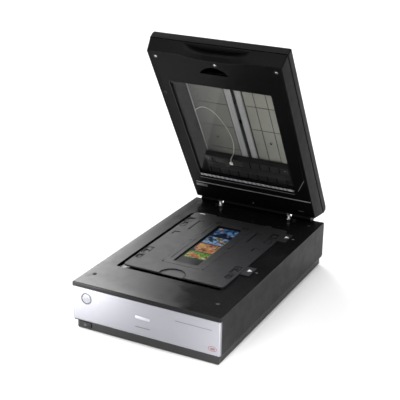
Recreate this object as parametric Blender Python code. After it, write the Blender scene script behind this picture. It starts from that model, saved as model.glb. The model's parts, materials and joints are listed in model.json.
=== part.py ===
"""Flatbed film scanner with its lid open, as an assembly of separate named parts.

Constants and helper arguments are in millimetres; MM turns them into Blender's metres where
a mesh is made. +X is right, +Y rear, +Z up. The origin is the centre of the base's footprint
on the surface it stands on. The lid's parts are drawn as if it were shut, in the lid's own
coordinates (x, along, up): along runs forward from the lower rear edge, up from the underside.
"""
import math

import bmesh
import bpy
from mathutils import Matrix, Vector

MM = 0.001
GAP = 0.3  # clearance between pieces that touch

# Base
BASE_W = 308.0
BASE_D = 500.0
BASE_TOP = 98.0
SPLIT_Z = 22.0  # joint between the lower and the upper casing
WALL = 3.0
CORNER_R = 2.6
PLINTH_IN = 5.6
PLINTH_IN_FRONT = 6.5
FLOOR_Z = 2.0  # underside of the lower casing
FLOOR_T = 2.4
FEET = {"front_left": (-125.0, -215.0), "front_right": (125.0, -215.0),
        "rear_left": (-125.0, 222.0), "rear_right": (125.0, 222.0)}
FOOT_R = 11.0
FOOT_SUNK = 1.0  # how far a foot reaches into its recess in the floor
FASCIA_TOP = 89.7
FASCIA_T = 5.8
FASCIA_SKIN = 2.6
FASCIA_R = 2.6
HALF_W = BASE_W / 2
HALF_D = BASE_D / 2

# Platen opening and glass
OPEN_X = (-118.0, 104.0)
OPEN_Y = (-152.0, 158.0)
GLASS_TOP = 93.4
GLASS_T = 3.2
GLASS_LAP = 8.0

# Lid, in its own coordinates
LID_OPEN_DEG = 59.0
LID_LENGTH = 435.0
LID_HALF_W = 140.5
LID_TOP_REAR = 49.5
LID_TOP_FRONT = 44.5
SEAM_REAR = 33.0
SEAM_FRONT = 27.0
SEAM_HALF_W = 144.6
REAR_LEAN = 21.0  # how far the rear wall leans back up to the seam
FRONT_LEAN = 8.5
SHUT_GAP = 4.0  # between the shut lid and the base's top
SHUT_REAR_Y = 206.0
SCOOP_HALF_W = 70.0
SCOOP_DEPTH = 8.0
GRIP_DEPTH = 14.0  # of the finger grip under the front of the seam
LID_R = 2.6  # corner radius in plan
SEAM_GAP = 0.4
SEAM_GROOVE = 1.8  # height of the groove below the seam

# Hinge
HINGE_Y = 226.0
HINGE_Z = 86.6
HINGE_X = 81.0
PIN_R = 3.0
EYE_R = 6.5
EYE_BORE_R = 3.1
HINGE_BLOCK_HALF_W = 130.0
POST_Y = 227.0
POST_CLEAR = 6.0  # half width of the pocket round a post

# Window in the lid
WIN_X = (-112.0, 105.0)
WIN_A = (83.0, 357.0)
TRAY_FLOOR_UP = 29.0
TRAY_FLOOR_LEFT = -97.0  # where the leaning left wall meets the floor
LAMP_X = (-95.0, 102.0)
LAMP_A = (80.0, 133.0)
LAMP_UP = (12.0, 26.0)
LAMP_TUBE_R = 3.0

# Optics carriage and its drive
CARRIAGE_X = 120.0
CARRIAGE_Y = (120.0, 196.0)
CARRIAGE_Z = (40.0, 80.0)
SLIT_HALF_W = 108.0  # slit in the carriage's cover for the light
SLIT_Y = (154.5, 163.5)
ROD_X, ROD_Z, ROD_R = -60.0, 32.0, 4.0
BELT_X = -84.0
MOTOR_Y = -214.0
IDLER_Y = 192.0
BELT_Z = (29.2, 34.8)
BELT_R = (7.9, 9.1)
CHASSIS_Y = (-236.0, 205.0)
CHASSIS_T = 1.2
CHASSIS_Z = 4.8

# Film holder
HOLDER_X = (-107.0, 107.0)
HOLDER_Y = (-144.0, 160.0)
HOLDER_Z = (98.4, 101.4)
FINGER_RECESS = 1.4
COVER_X = (-49.0, 40.0)
COVER_Y = (-97.0, 131.0)
COVER_Z = (100.2, 101.6)
FRAME_X = (-30.5, 22.5)
FRAME_Y = (-83.0, 116.0)
FILM_X = (-34.5, 26.5)
FILM_Y = (-93.0, 127.0)
FILM_Z = (99.3, 99.5)

# Controls
START_X, START_Z, START_R = -122.8, 68.6, 11.6
POWER_X = (-143.0, -117.0)
POWER_Z = (6.0, 16.0)

BLACK = (0.012, 0.012, 0.013)
CHARCOAL = (0.045, 0.046, 0.050)
HOLDER_GREY = (0.060, 0.061, 0.064)
SILVER = (0.62, 0.62, 0.66)
STEEL = (0.55, 0.55, 0.56)


# ---------------------------------------------------------------- scene and materials
def clear_scene():
    for obj in list(bpy.data.objects):
        bpy.data.objects.remove(obj)


def material(name, colour, roughness, metallic=0.0, alpha=1.0):
    mat = bpy.data.materials.get(name) or bpy.data.materials.new(name)
    mat.use_nodes = True
    shader = mat.node_tree.nodes["Principled BSDF"]
    shader.inputs["Base Color"].default_value = (*colour, 1.0)
    shader.inputs["Roughness"].default_value = roughness
    shader.inputs["Metallic"].default_value = metallic
    shader.inputs["Alpha"].default_value = alpha
    return mat


# ---------------------------------------------------------------- outlines and forms
# A form is (points, faces) in millimetres, always one closed skin facing out.
def rounded(x0, x1, y0, y1, radius, steps=4):
    """Counter-clockwise outline of a rectangle with round corners."""
    corners = ((x1, y0, -90), (x1, y1, 0), (x0, y1, 90), (x0, y0, 180))
    points = []
    for cx, cy, start in corners:
        mx = cx - math.copysign(radius, cx - (x0 + x1) / 2)
        my = cy - math.copysign(radius, cy - (y0 + y1) / 2)
        for i in range(steps + 1):
            angle = math.radians(start + 90 * i / steps)
            points.append((mx + radius * math.cos(angle), my + radius * math.sin(angle)))
    return points


def circle(cx, cy, radius, sides, phase=0.0):
    turns = (phase + 2 * math.pi * i / sides for i in range(sides))
    return [(cx + radius * math.cos(t), cy + radius * math.sin(t)) for t in turns]


def loft(loops, ring=False):
    """Skin over loops of equal length, capped at both ends or closed into a ring."""
    count = len(loops[0])
    points = [Vector(p) for loop in loops for p in loop]
    faces = []
    spans = len(loops) if ring else len(loops) - 1
    for k in range(spans):
        a, b = k * count, (k + 1) % len(loops) * count
        for i in range(count):
            j = (i + 1) % count
            faces.append((a + i, a + j, b + j, b + i))
    if not ring:
        faces.append(tuple(reversed(range(count))))
        last = (len(loops) - 1) * count
        faces.append(tuple(range(last, last + count)))
    return points, faces


def at_height(outline, z):
    return [(x, y, z) for x, y in outline]


def prism(outline, low, high, axis="z"):
    """Outline drawn in the plane across axis (yz for x, xz for y, xy for z), extruded."""
    place = {
        "x": lambda p, h: (h, p[0], p[1]),
        "y": lambda p, h: (p[0], h, p[1]),
        "z": lambda p, h: (p[0], p[1], h),
    }[axis]
    return loft([[place(p, low) for p in outline], [place(p, high) for p in outline]])


def block(low, high):
    outline = [(low[0], low[1]), (high[0], low[1]), (high[0], high[1]), (low[0], high[1])]
    return prism(outline, low[2], high[2])


def turned(centre, profile, axis="z", sides=24, ring=False):
    """Profile of (radius, height) points spun about the axis through centre."""
    place = {
        "x": lambda c, s, h: (centre[0] + h, centre[1] + c, centre[2] + s),
        "y": lambda c, s, h: (centre[0] + c, centre[1] + h, centre[2] + s),
        "z": lambda c, s, h: (centre[0] + c, centre[1] + s, centre[2] + h),
    }[axis]
    loops = []
    for radius, height in profile:
        loops.append([place(c, s, height) for c, s in circle(0, 0, radius, sides)])
    return loft(loops, ring)


def rod(start, end, radius, axis, sides=16):
    centre = Vector(start)
    length = (Vector(end) - centre).length
    return turned(centre, [(radius, 0.0), (radius, length)], axis, sides)


def moved(form, matrix):
    points, faces = form
    return [matrix @ p for p in points], faces


def tilted(form, centre, degrees, axis="X"):
    """Form turned about an axis through centre."""
    turn = Matrix.Rotation(math.radians(degrees), 4, axis)
    return moved(form, Matrix.Translation(centre) @ turn @ Matrix.Translation(-Vector(centre)))


# ---------------------------------------------------------------- objects
class Body:
    """A moving group: an empty on its joint's axis, and the way its parts are drawn."""

    def __init__(self, name, origin=(0, 0, 0), turn_deg=0.0, draw=None, parent=None):
        self.origin = Vector(origin)
        self.draw = draw or (lambda p: p - self.origin)
        self.empty = bpy.data.objects.new(name, None)
        self.empty.empty_display_size = 0.02
        bpy.context.scene.collection.objects.link(self.empty)
        offset = self.origin - (parent.origin if parent else Vector())
        self.empty.location = offset * MM
        self.empty.rotation_euler = (math.radians(turn_deg), 0, 0)
        self.empty.parent = parent.empty if parent else None


def mesh_object(name, form, body):
    points, faces = form
    mesh = bpy.data.meshes.new(name)
    placed = [(body.draw(p) if body else p) * MM for p in points]
    mesh.from_pydata(placed, [], faces)
    grown = bmesh.new()
    grown.from_mesh(mesh)
    bmesh.ops.recalc_face_normals(grown, faces=grown.faces)
    grown.to_mesh(mesh)
    grown.free()
    obj = bpy.data.objects.new(name, mesh)
    bpy.context.scene.collection.objects.link(obj)
    if body:
        obj.parent = body.empty
    return obj


def joined(forms):
    points, faces = [], []
    for form_points, form_faces in forms:
        start = len(points)
        points += form_points
        faces += [tuple(i + start for i in face) for face in form_faces]
    return points, faces


def node(name, form, mat, body=None, adds=(), cuts=(), bevel=0.0, smooth=False):
    """One named piece: form, with other forms joined on, then groups of forms cut away."""
    obj = mesh_object(name, form, body)
    obj.data.materials.append(mat)
    steps = [("UNION", [add]) for add in adds] + [("DIFFERENCE", group) for group in cuts]
    for number, (operation, forms) in enumerate(steps):
        tool = mesh_object(f"tool_{name}_{number}", joined(forms), body)
        tool.hide_render = True
        tool.display_type = "WIRE"
        boolean = obj.modifiers.new(f"{operation.lower()}_{number}", "BOOLEAN")
        boolean.operation = operation
        boolean.solver = "EXACT"
        boolean.object = tool
    if bevel:
        edge = obj.modifiers.new("edges", "BEVEL")
        edge.width = bevel * MM
        edge.segments = 2
        edge.limit_method = "ANGLE"
    if smooth:
        obj.data.shade_smooth()
        obj.data.set_sharp_from_angle(angle=math.radians(35))
    return obj


# ---------------------------------------------------------------- base casings
def plinth_loop(grow, z):
    """Outline of the lower casing, grown outwards from the plinth's own."""
    side = HALF_W - PLINTH_IN + grow
    front = -HALF_D + PLINTH_IN_FRONT - grow
    rear = HALF_D - 1.0 + min(grow, 0.4)
    return at_height(rounded(-side, side, front, rear, CORNER_R), z)


def build_lower_casing(mat):
    flange = PLINTH_IN - 0.6
    loops = [
        plinth_loop(0.0, FLOOR_Z),
        plinth_loop(0.0, SPLIT_Z - FLOOR_T),
        plinth_loop(flange, SPLIT_Z - FLOOR_T),
        plinth_loop(flange, SPLIT_Z - 0.1),
        plinth_loop(-FLOOR_T, SPLIT_Z - 0.1),
        plinth_loop(-FLOOR_T, FLOOR_Z + FLOOR_T),
    ]
    power_hole = block(
        (POWER_X[0] - 0.4, -HALF_D, POWER_Z[0] - 0.4),
        (POWER_X[1] + 0.4, -HALF_D + 12, POWER_Z[1] + 0.4),
    )
    recesses = []
    for x, y in FEET.values():
        profile = [(FOOT_R + GAP, -1.0), (FOOT_R + GAP, FLOOR_Z + FOOT_SUNK + GAP)]
        recesses.append(turned((x, y, 0), profile, sides=20))
    node("bottom_case", loft(loops), mat, cuts=[[power_hole], recesses])


def case_loop(inset, z):
    outline = rounded(
        -HALF_W + inset, HALF_W - inset, -HALF_D + inset, HALF_D - inset, CORNER_R - inset
    )
    return at_height(outline, z)


def build_upper_casing(mat):
    loops = [
        case_loop(0.0, SPLIT_Z + 0.2),
        case_loop(0.0, BASE_TOP - 2.0),
        case_loop(0.6, BASE_TOP - 0.6),
        case_loop(2.0, BASE_TOP),
    ]
    wall_front = -HALF_D + FASCIA_T + GAP
    cavity = block(
        (-HALF_W + WALL, wall_front + 2.5, 0), (HALF_W - WALL, HALF_D - WALL, BASE_TOP - WALL)
    )
    fascia_room = block((-200, -300, 0), (200, wall_front, FASCIA_TOP + GAP))
    openings = [prism(rounded(*OPEN_X, *OPEN_Y, 4), GLASS_TOP - 1, BASE_TOP + 5)]
    for side in (-1, 1):
        low, high = sorted((side * (HINGE_X - 10), side * (HINGE_X + 18)))
        openings.append(block((low, 207, 90), (high, 243, BASE_TOP + 5)))
    dimples = [(-134, -203), (125, -203), (-133, 219), (132, 215)]
    for x, y in dimples:
        openings.append(turned((x, y, BASE_TOP), [(2.0, -0.8), (4.5, 0.1), (4.5, 2.0)], sides=16))
    rear = [
        block((-66, HALF_D - WALL - 2, 30), (66, HALF_D + 5, 60)),
        block((96, HALF_D - WALL - 2, 44), (122, HALF_D + 5, 52)),
    ]
    node(
        "upper_case", loft(loops), mat, cuts=[[cavity], [fascia_room], openings, rear], smooth=True
    )


def build_fascia(mat):
    def front_loop(inset, z):
        """Front edge with round ends, closed straight across the back."""
        left, right, front = -HALF_W + inset, HALF_W - inset, -HALF_D + inset
        rear = -HALF_D + FASCIA_T
        points = [(left, rear)]
        for middle, start in ((left + FASCIA_R, 180), (right - FASCIA_R, 270)):
            for i in range(6):
                angle = math.radians(start + 18 * i)
                points.append((middle + FASCIA_R * math.cos(angle),
                               front + FASCIA_R * (1 + math.sin(angle))))
        points.append((right, rear))
        return at_height(points, z)

    low, high = SPLIT_Z + GAP, FASCIA_TOP
    loops = [front_loop(0.8, low), front_loop(0.0, low + 1), front_loop(0.0, high - 0.6),
             front_loop(0.5, high)]
    rim = 3.0
    pocket = block((-HALF_W + FASCIA_R, -HALF_D + FASCIA_SKIN, low + rim),
                   (HALF_W - FASCIA_R, -HALF_D + FASCIA_T + 1, high - rim))
    hole = rod((START_X, -HALF_D - 5, START_Z), (START_X, -HALF_D + 10, START_Z), START_R, "y", 32)
    node("front_fascia", loft(loops), mat, cuts=[[pocket], [hole]], smooth=True)


def build_platen_glass(mat):
    low = (OPEN_X[0] - GLASS_LAP, OPEN_Y[0] - GLASS_LAP, GLASS_TOP - GLASS_T)
    high = (OPEN_X[1] + GLASS_LAP, OPEN_Y[1] + GLASS_LAP, GLASS_TOP)
    node("platen_glass", block(low, high), mat)


def build_feet(mat):
    """Round rubber feet with a flat sole, sunk into the floor's recesses."""
    profile = [(FOOT_R - 2.0, 0.0), (FOOT_R, 0.5), (FOOT_R, FLOOR_Z + FOOT_SUNK)]
    for name, (x, y) in FEET.items():
        node(f"foot_{name}", turned((x, y, 0), profile, sides=20), mat, smooth=True)


# ---------------------------------------------------------------- inside the base
def build_chassis(blackened, steel, board_mat):
    y0, y1 = CHASSIS_Y
    floor, top = CHASSIS_Z, 44.0
    outline = [
        (y0, top), (y0, floor), (y1, floor), (y1, top), (y1 - CHASSIS_T, top),
        (y1 - CHASSIS_T, floor + CHASSIS_T), (y0 + CHASSIS_T, floor + CHASSIS_T),
        (y0 + CHASSIS_T, top),
    ]
    node("chassis_plate", prism(outline, -135, 135, "x"), blackened)
    ends = (y0 + CHASSIS_T + GAP, y1 - CHASSIS_T - GAP)
    node(
        "guide_rod",
        rod((ROD_X, ends[0], ROD_Z), (ROD_X, ends[1], ROD_Z), ROD_R, "y"),
        steel, smooth=True,
    )
    node("support_rail", block((105, ends[0], 28), (115, ends[1], 33.6)), steel, bevel=0.6)
    board = block((-66, 130, 12), (66, 200, 13.6))
    chips = [
        block((-40, 150, 13), (-14, 176, 16)),
        block((10, 160, 13), (28, 178, 15.5)),
        block((40, 140, 13), (56, 190, 19)),
    ]
    node("main_board", board, board_mat, adds=chips)


def build_drive(motor_mat, steel, belt_mat):
    shaft_top = BELT_Z[1] + 2.5
    node(
        "drive_motor",
        turned((BELT_X, MOTOR_Y, 0),
               [(17.5, 6.4), (17.5, 26.5), (2.5, 26.5), (2.5, shaft_top)], sides=28),
        motor_mat, smooth=True,
    )
    node(
        "idler_bracket",
        turned((BELT_X, IDLER_Y, 0),
               [(6.0, 6.4), (6.0, 27.0), (2.5, 27.0), (2.5, shaft_top)], sides=20),
        steel, smooth=True,
    )

    def belt_loop(radius, z):
        front = [(BELT_X + radius * math.cos(t), MOTOR_Y + radius * math.sin(t))
                 for t in (math.radians(180 + 15 * i) for i in range(13))]
        rear = [(BELT_X + radius * math.cos(t), IDLER_Y + radius * math.sin(t))
                for t in (math.radians(15 * i) for i in range(13))]
        return at_height(front + rear, z)

    inner, outer = BELT_R
    loops = [belt_loop(outer, BELT_Z[0]), belt_loop(outer, BELT_Z[1]),
             belt_loop(inner, BELT_Z[1]), belt_loop(inner, BELT_Z[0])]
    node("drive_belt", loft(loops, ring=True), belt_mat)
    node("tension_spring", spring_form((BELT_X, 166.0, 14.0), 19.0, 3.0, 0.5, 6), steel)


def spring_form(start, length, radius, wire, turns):
    """Helix along +Y, swept with a square-turned wire section."""
    sides, per_turn = 6, 12
    loops = []
    for i in range(turns * per_turn + 1):
        turn = 2 * math.pi * i / per_turn
        along = length * i / (turns * per_turn)
        out = Vector((math.cos(turn), 0, math.sin(turn)))
        centre = Vector(start) + out * radius + Vector((0, along, 0))
        ring = []
        for k in range(sides):
            angle = 2 * math.pi * k / sides
            ring.append(centre + out * wire * math.cos(angle)
                        + Vector((0, wire * math.sin(angle), 0)))
        loops.append(ring)
    return loft(loops)


def build_pulleys(mat, motor_body, idler_body):
    groove = BELT_R[0] - GAP
    low, high = BELT_Z[0] - 0.5, BELT_Z[1] + 0.5
    profile = [
        (2.8, low - 1.0), (groove + 2.0, low - 1.0), (groove + 2.0, low), (groove, low),
        (groove, high), (groove + 2.0, high), (groove + 2.0, high + 1.0), (2.8, high + 1.0),
    ]
    for name, y, body in (("motor_pulley", MOTOR_Y, motor_body),
                          ("idler_pulley", IDLER_Y, idler_body)):
        node(name, turned((BELT_X, y, 0), profile, sides=24, ring=True), mat, body, smooth=True)


def build_carriage(plastic, lamp, mirror, black, board, body):
    x, (y0, y1), (z0, z1) = CARRIAGE_X, CARRIAGE_Y, CARRIAGE_Z
    room = block((-x + 2, y0 + 2, z0 + 2), (x - 2, y1 - 2, z1 + 5))
    node("carriage_housing", block((-x, y0, z0), (x, y1, z1)), plastic, body, cuts=[[room]])
    lid_z = z1 + GAP
    slit = block((-SLIT_HALF_W, SLIT_Y[0], lid_z - 2), (SLIT_HALF_W, SLIT_Y[1], lid_z + 5))
    node("carriage_cover", block((-x, y0, lid_z), (x, y1, lid_z + 1.7)), plastic, body,
         cuts=[[slit]])
    bore = rod((ROD_X, 100, ROD_Z), (ROD_X, 220, ROD_Z), ROD_R + 0.15, "y")
    node("carriage_bearing", block((-74.3, 130, 25), (-46, 186, z0 - GAP)), black, body,
         cuts=[[bore]])
    node("carriage_glide", block((106, 150, 33.9), (114, 166, z0 - GAP)), black, body, bevel=0.5)
    node("lamp_tube", rod((-110, 150, 85.5), (110, 150, 85.5), 2.0, "x", 12), lamp, body,
         smooth=True)
    for name, y, degrees in (("mirror_front", 159, 45), ("mirror_rear", 184, -30)):
        plate = block((-100, y - 7, 50.5), (100, y + 7, 53.5))
        node(name, tilted(plate, (0, y, 52), degrees), mirror, body)
    node("lens_barrel",
         turned((0, 0, 66), [(7, 130), (7, 136), (9, 136), (9, 148), (8, 150)], "y", 20),
         black, body, smooth=True)
    node("sensor_board", block((-45, 124, 48), (45, 125.6, 78)), board, body)


# ---------------------------------------------------------------- rear sockets and controls
def build_rear_panel(steel, black):
    sockets = (
        ("power_inlet", (-52, -40), (39, 51), None),
        ("data_port_square", (-28, -15.6), (39, 50.8), ((-26.2, -17.4), (40.9, 48.9))),
        ("data_port_wide", (-2, 13), (40, 50), ((0, 11), (41.8, 48.2))),
        ("lid_cable_port", (26, 58), (38, 52), ((29, 55), (41, 49))),
    )
    holes = []
    for name, (x0, x1), (z0, z1), room in sockets:
        holes.append(block((x0 - GAP, 230, z0 - GAP), (x1 + GAP, 260, z1 + GAP)))
        if room:
            (rx0, rx1), (rz0, rz1) = room
            cavity = block((rx0, 240, rz0), (rx1, 255, rz1))
        else:
            cavity = rod(((x0 + x1) / 2, 240, 45), ((x0 + x1) / 2, 255, 45), 4.2, "y", 20)
        node(name, block((x0, 232, z0), (x1, 249.2, z1)), black, cuts=[[cavity]])
    plate = block((-65.6, 247.4, 30.4), (65.6, 248.6, 59.6))
    node("connector_panel", plate, steel, cuts=[holes])


def build_controls(black, silver, start_body, power_body, lock_body):
    front = -HALF_D
    outer, crest, inner = START_R - GAP, START_R - 0.9, START_R - 1.8
    ring_profile = [(outer, -0.2), (outer, 3.0), (inner, 3.0), (inner, -0.7), (crest, -0.7)]
    node("start_button_ring",
         turned((START_X, front, START_Z), ring_profile, "y", 32, ring=True), black, smooth=True)
    cap_r = inner - GAP
    cap = [(cap_r, 3.8), (cap_r, 0.4), (cap_r - 0.5, -0.1), (cap_r - 3.1, -0.4), (2.0, -0.5)]
    node("start_button", turned((START_X, front, START_Z), cap, "y", 32), silver, start_body,
         smooth=True)
    low = (POWER_X[0], front + 4.4, POWER_Z[0])
    high = (POWER_X[1], front + 11.0, POWER_Z[1])
    node("power_button", block(low, high), black, power_body, bevel=0.8)
    inner = block((94, 243.4, 41), (114, 246.6, 55))
    knob = block((97.5, 245.6, 45), (105.5, 250.8, 51))
    node("transport_lock", inner, black, lock_body, adds=[knob])


# ---------------------------------------------------------------- hinge
def build_hinge_base(black, silver, legs_body):
    for name, side in (("left", -1), ("right", 1)):
        def across(a, b):
            return sorted((side * a, side * b))

        x0, x1 = across(HINGE_X - 9.4, HINGE_X + 8.4)
        in0, in1 = across(HINGE_X - 7.4, HINGE_X + 6.4)
        outer = rounded(x0, x1, 211.6, 238.4, 1.5, 2)
        inner = rounded(in0, in1, 213.6, 236.4, 0.5, 2)
        socket = loft([at_height(outer, 8), at_height(outer, 72), at_height(inner, 72),
                       at_height(inner, 8)], ring=True)
        node(f"hinge_socket_{name}", socket, black)

        c0, c1 = across(HINGE_X - 7.0, HINGE_X + 6.0)
        column = block((c0, 214, 30), (c1, 236, BASE_TOP - 2))
        p0, p1 = across(HINGE_X - 9.6, HINGE_X + 17.6)
        cap = block((p0, 207.4, BASE_TOP - 3.1), (p1, 242.6, BASE_TOP - 0.1))
        pin0, pin1 = across(HINGE_X + 4.0, HINGE_X + 16.2)
        pin = rod((pin0, HINGE_Y, HINGE_Z), (pin1, HINGE_Y, HINGE_Z), PIN_R, "x", 24)
        s0, s1 = across(HINGE_X + 7.0, HINGE_X + 16.6)
        slot = block((s0, 217, BASE_TOP - 6), (s1, 241.4, BASE_TOP + 5))
        node(f"hinge_leg_{name}", column, black, legs_body, adds=[cap, pin], cuts=[[slot]])

        bell = [(5.2, 0.2), (5.2, 1.8), (4.2, 3.8), (3.6, 8.6), (2.8, 11.4), (1.0, 12.8)]
        node(f"hinge_post_{name}", turned((side * HINGE_X, POST_Y, BASE_TOP), bell, sides=20), silver,
             legs_body, smooth=True)


def build_hinge_bracket(black, body):
    """Block under the lid's rear wall with two arms that turn on the legs' pins."""
    shut = Vector((0, SHUT_REAR_Y - HINGE_Y, BASE_TOP + SHUT_GAP - HINGE_Z))

    def from_axis(y, z):
        """A point of the shut lid given from the hinge axis, in the lid's own coordinates."""
        return (shut.y - y, z - shut.z)

    def hinge_prism(outline, x0, x1):
        points = [from_axis(y, z) for y, z in outline]
        return prism(points, x0, x1, "x")

    profile = [(-19.3, 15.9), (-17.5, 12.2), (-6.6, 12.2), (0.2, 23.6), (0.2, 36.0), (-4.0, 39.9)]
    arm = [(3.29, 1.19), (-2.51, 17.39), (-9.09, 15.01), (-3.29, -1.19)]
    eye = circle(0, 0, EYE_R, 24)
    bore = circle(0, 0, EYE_BORE_R, 24)
    adds, bores, pockets = [], [], []
    for side in (-1, 1):
        x0, x1 = sorted((side * (HINGE_X + 7.6), side * (HINGE_X + 15.4)))
        adds.append(hinge_prism(arm, x0, x1))
        adds.append(hinge_prism(eye, x0, x1))
        bores.append(hinge_prism(bore, x0 - 2, x1 + 2))
        p0, p1 = sorted((side * (HINGE_X - POST_CLEAR), side * (HINGE_X + POST_CLEAR)))
        pocket = [(-30, 0), (9, 0), (9, 28), (-30, 28)]
        pockets.append(hinge_prism(pocket, p0, p1))
    node("lid_hinge_bracket", hinge_prism(profile, -HINGE_BLOCK_HALF_W, HINGE_BLOCK_HALF_W),
         black, body, adds=adds, cuts=[bores, pockets])


# ---------------------------------------------------------------- lid
def lid_outline(half_w, rear, front, radius, scoop=0.0, scoop_points=13):
    """Lid outline in (x, along), with the finger scoop pulled into its front edge."""
    points = []
    corners = ((half_w, rear, -90), (half_w, front, 0), (-half_w, front, 90), (-half_w, rear, 180))
    for number, (cx, cy, start) in enumerate(corners):
        mx = cx - math.copysign(radius, cx)
        my = cy + radius if cy == rear else cy - radius
        for i in range(5):
            angle = math.radians(start + 22.5 * i)
            points.append((mx + radius * math.cos(angle), my + radius * math.sin(angle)))
        if number == 1:
            for i in range(scoop_points):
                share = 1 - 2 * i / (scoop_points - 1)
                dip = scoop * (1 - abs(share) ** 3)
                points.append((share * SCOOP_HALF_W, front - dip))
    return points


def sloped(rear_up, front_up):
    """Height over the underside as a function of the place along the lid."""
    return lambda along: rear_up + (front_up - rear_up) * (along + REAR_LEAN) / (
        LID_LENGTH + REAR_LEAN + FRONT_LEAN)


def lid_loop(half_w, rear, front, radius, height, scoop=0.0):
    return [(x, a, height(a)) for x, a in lid_outline(half_w, rear, front, radius, scoop)]


def build_lid_shells(mat, body):
    seam = sloped(SEAM_REAR, SEAM_FRONT)
    top = sloped(LID_TOP_REAR, LID_TOP_FRONT)
    front = LID_LENGTH + FRONT_LEAN

    def flat(up):
        return lambda along: up

    def below(height, drop):
        return lambda along: height(along) - drop

    inner_r = LID_R - 1.0
    outside = (  # half width, rear, front, up, depth of the finger grip
        (LID_HALF_W, 0, LID_LENGTH, 0, SCOOP_DEPTH), (141.6, -5.1, 437.4, 8, 5),
        (142.4, -8.9, 439.3, 14, 7), (142.9, -12.1, 440.9, 19, 12),
        (143.3, -14.8, 442.3, 23, GRIP_DEPTH), (143.4, -15.2, 442.5, 23.6, 0),
    )
    inside = (
        (140.0, -9.2, 437.6, 19.5, 11.5), (140.1, -7.0, 437.2, 14.5, 7.5),
        (139.1, -2.2, 435.0, 8, 5), (LID_HALF_W - 2.4, 2.4, LID_LENGTH - 2.4, 0, SCOOP_DEPTH),
    )
    lower = [lid_loop(wide, rear, ahead, LID_R, flat(up), scoop)
             for wide, rear, ahead, up, scoop in outside]
    lower += [
        lid_loop(SEAM_HALF_W - 0.8, -20.2, front - 0.5, LID_R, below(seam, SEAM_GROOVE)),
        lid_loop(SEAM_HALF_W - 3.2, -17.8, front - 2.9, inner_r, below(seam, SEAM_GROOVE)),
        lid_loop(SEAM_HALF_W - 3.2, -17.8, front - 2.9, inner_r, seam),
        lid_loop(SEAM_HALF_W - 5.0, -16.0, front - 4.7, inner_r, seam),
        lid_loop(139.6, -15.2, 438.2, inner_r, below(seam, 1.6), GRIP_DEPTH - 1.3),
    ]
    lower += [lid_loop(wide, rear, ahead, inner_r, flat(up), scoop)
              for wide, rear, ahead, up, scoop in inside]
    node("lid_lower_shell", loft(lower, ring=True), mat, body, smooth=True)
    half = SEAM_HALF_W
    upper = [
        lid_loop(half - 2.2, -15.0, front - 1.8, LID_R, top),
        lid_loop(half - 0.4, -18.5, front - 0.3, LID_R, below(top, 1.0)),
        lid_loop(half + 0.4, -22.8, front + 0.5, LID_R, below(top, 6.0)),
        lid_loop(half, -21.4, front + 0.3, LID_R, below(seam, -SEAM_GAP)),
        lid_loop(half - 4.2, -17.2, front - 3.9, inner_r, below(seam, -SEAM_GAP)),
        lid_loop(half - 5.0, -16.0, front - 4.7, inner_r, below(top, 2.6)),
    ]
    node("lid_upper_shell", loft(upper), mat, body, smooth=True)


def build_lid_inside(black, glass, silver, tray_mat, steel, body):
    (x0, x1), (a0, a1) = WIN_X, WIN_A
    edge = lid_outline(LID_HALF_W - 2.8, 2.8, LID_LENGTH - 2.8, LID_R - 1.2, SCOOP_DEPTH)
    window = prism(rounded(x0, x1, a0, a1, 3), -5, 10)
    groove = block((x0 - 0.4, a0 - 7.4, -5), (x1 + 0.4, a0 - 0.2, 1.6))
    slot = [(24, 391), (24, 395), (14, 404), (3, 409), (-6, 410), (-16, 408), (-27, 402),
            (-36, 394), (-36, 391)]
    node("lid_inner_panel", prism(edge, 0.5, 3.0), black, body,
         cuts=[[window], [groove], [prism(slot, -5, 10)]])
    node("lid_window_trim", block((x0, a0 - 7.0, 0.6), (x1, a0 - 0.6, 1.3)), silver, body)
    node("lid_window", block((x0 - 4, a0 - 4, 3.4), (x1 + 4, a1 + 4, 5.9)), glass, body)
    t0, t1, f0, f1 = x0 - 7, x1 + 7, 60, 366
    wall = 1.5

    def tray_loop(left, inset, up):
        return at_height(rounded(left, t1 - inset, f0 + inset, f1 - inset, 3 - inset / 2, 2), up)

    tray = loft([
        tray_loop(TRAY_FLOOR_LEFT - wall, 0, TRAY_FLOOR_UP + 1.4), tray_loop(t0, 0, 6.2),
        tray_loop(t0 + wall, wall, 6.2), tray_loop(TRAY_FLOOR_LEFT, wall, TRAY_FLOOR_UP),
    ])
    node("lid_tray", tray, tray_mat, body)
    node("lid_rail", block((2, f0 + 2, 26.4), (8, f1 - 2, 28.7)), steel, body, bevel=0.4)


def build_lid_lamp(plastic, lamp, body):
    (x0, x1), (a0, a1), (u0, u1) = LAMP_X, LAMP_A, LAMP_UP
    middle = (a0 + a1) / 2
    trough = block((x0 + 5, middle - 7, 0), (x1 - 5, middle + 7, u1 - 4))
    node("lid_lamp_housing", block((x0, a0, u0), (x1, a1, u1)), plastic, body, cuts=[[trough]])
    tube = rod((x0 + 7, middle, u0 + 5), (x1 - 7, middle, u0 + 5), LAMP_TUBE_R, "x", 12)
    node("lid_lamp_tube", tube, lamp, body, smooth=True)


def build_lamp_cable(mat, body):
    """The lamp's cable: a loop from the lamp unit's face, over its edge and along the tray."""
    route = [(-34, 117, 10.7), (-33, 125, 10.6), (-32.5, 132, 10.3), (-31.7, 135.8, 11.8),
             (-31, 137.6, 16.5), (-29.6, 142, 23.5), (-26, 166, 27.3), (-27, 194, 27.5),
             (-32, 216, 27.6), (-41, 238, 27.6), (-52, 256, 27.6), (-66, 265, 27.6),
             (-80, 264, 27.6), (-94, 253, 27.6)]
    node("lamp_cable", tube_form(route, 0.9), mat, body, smooth=True)


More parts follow.
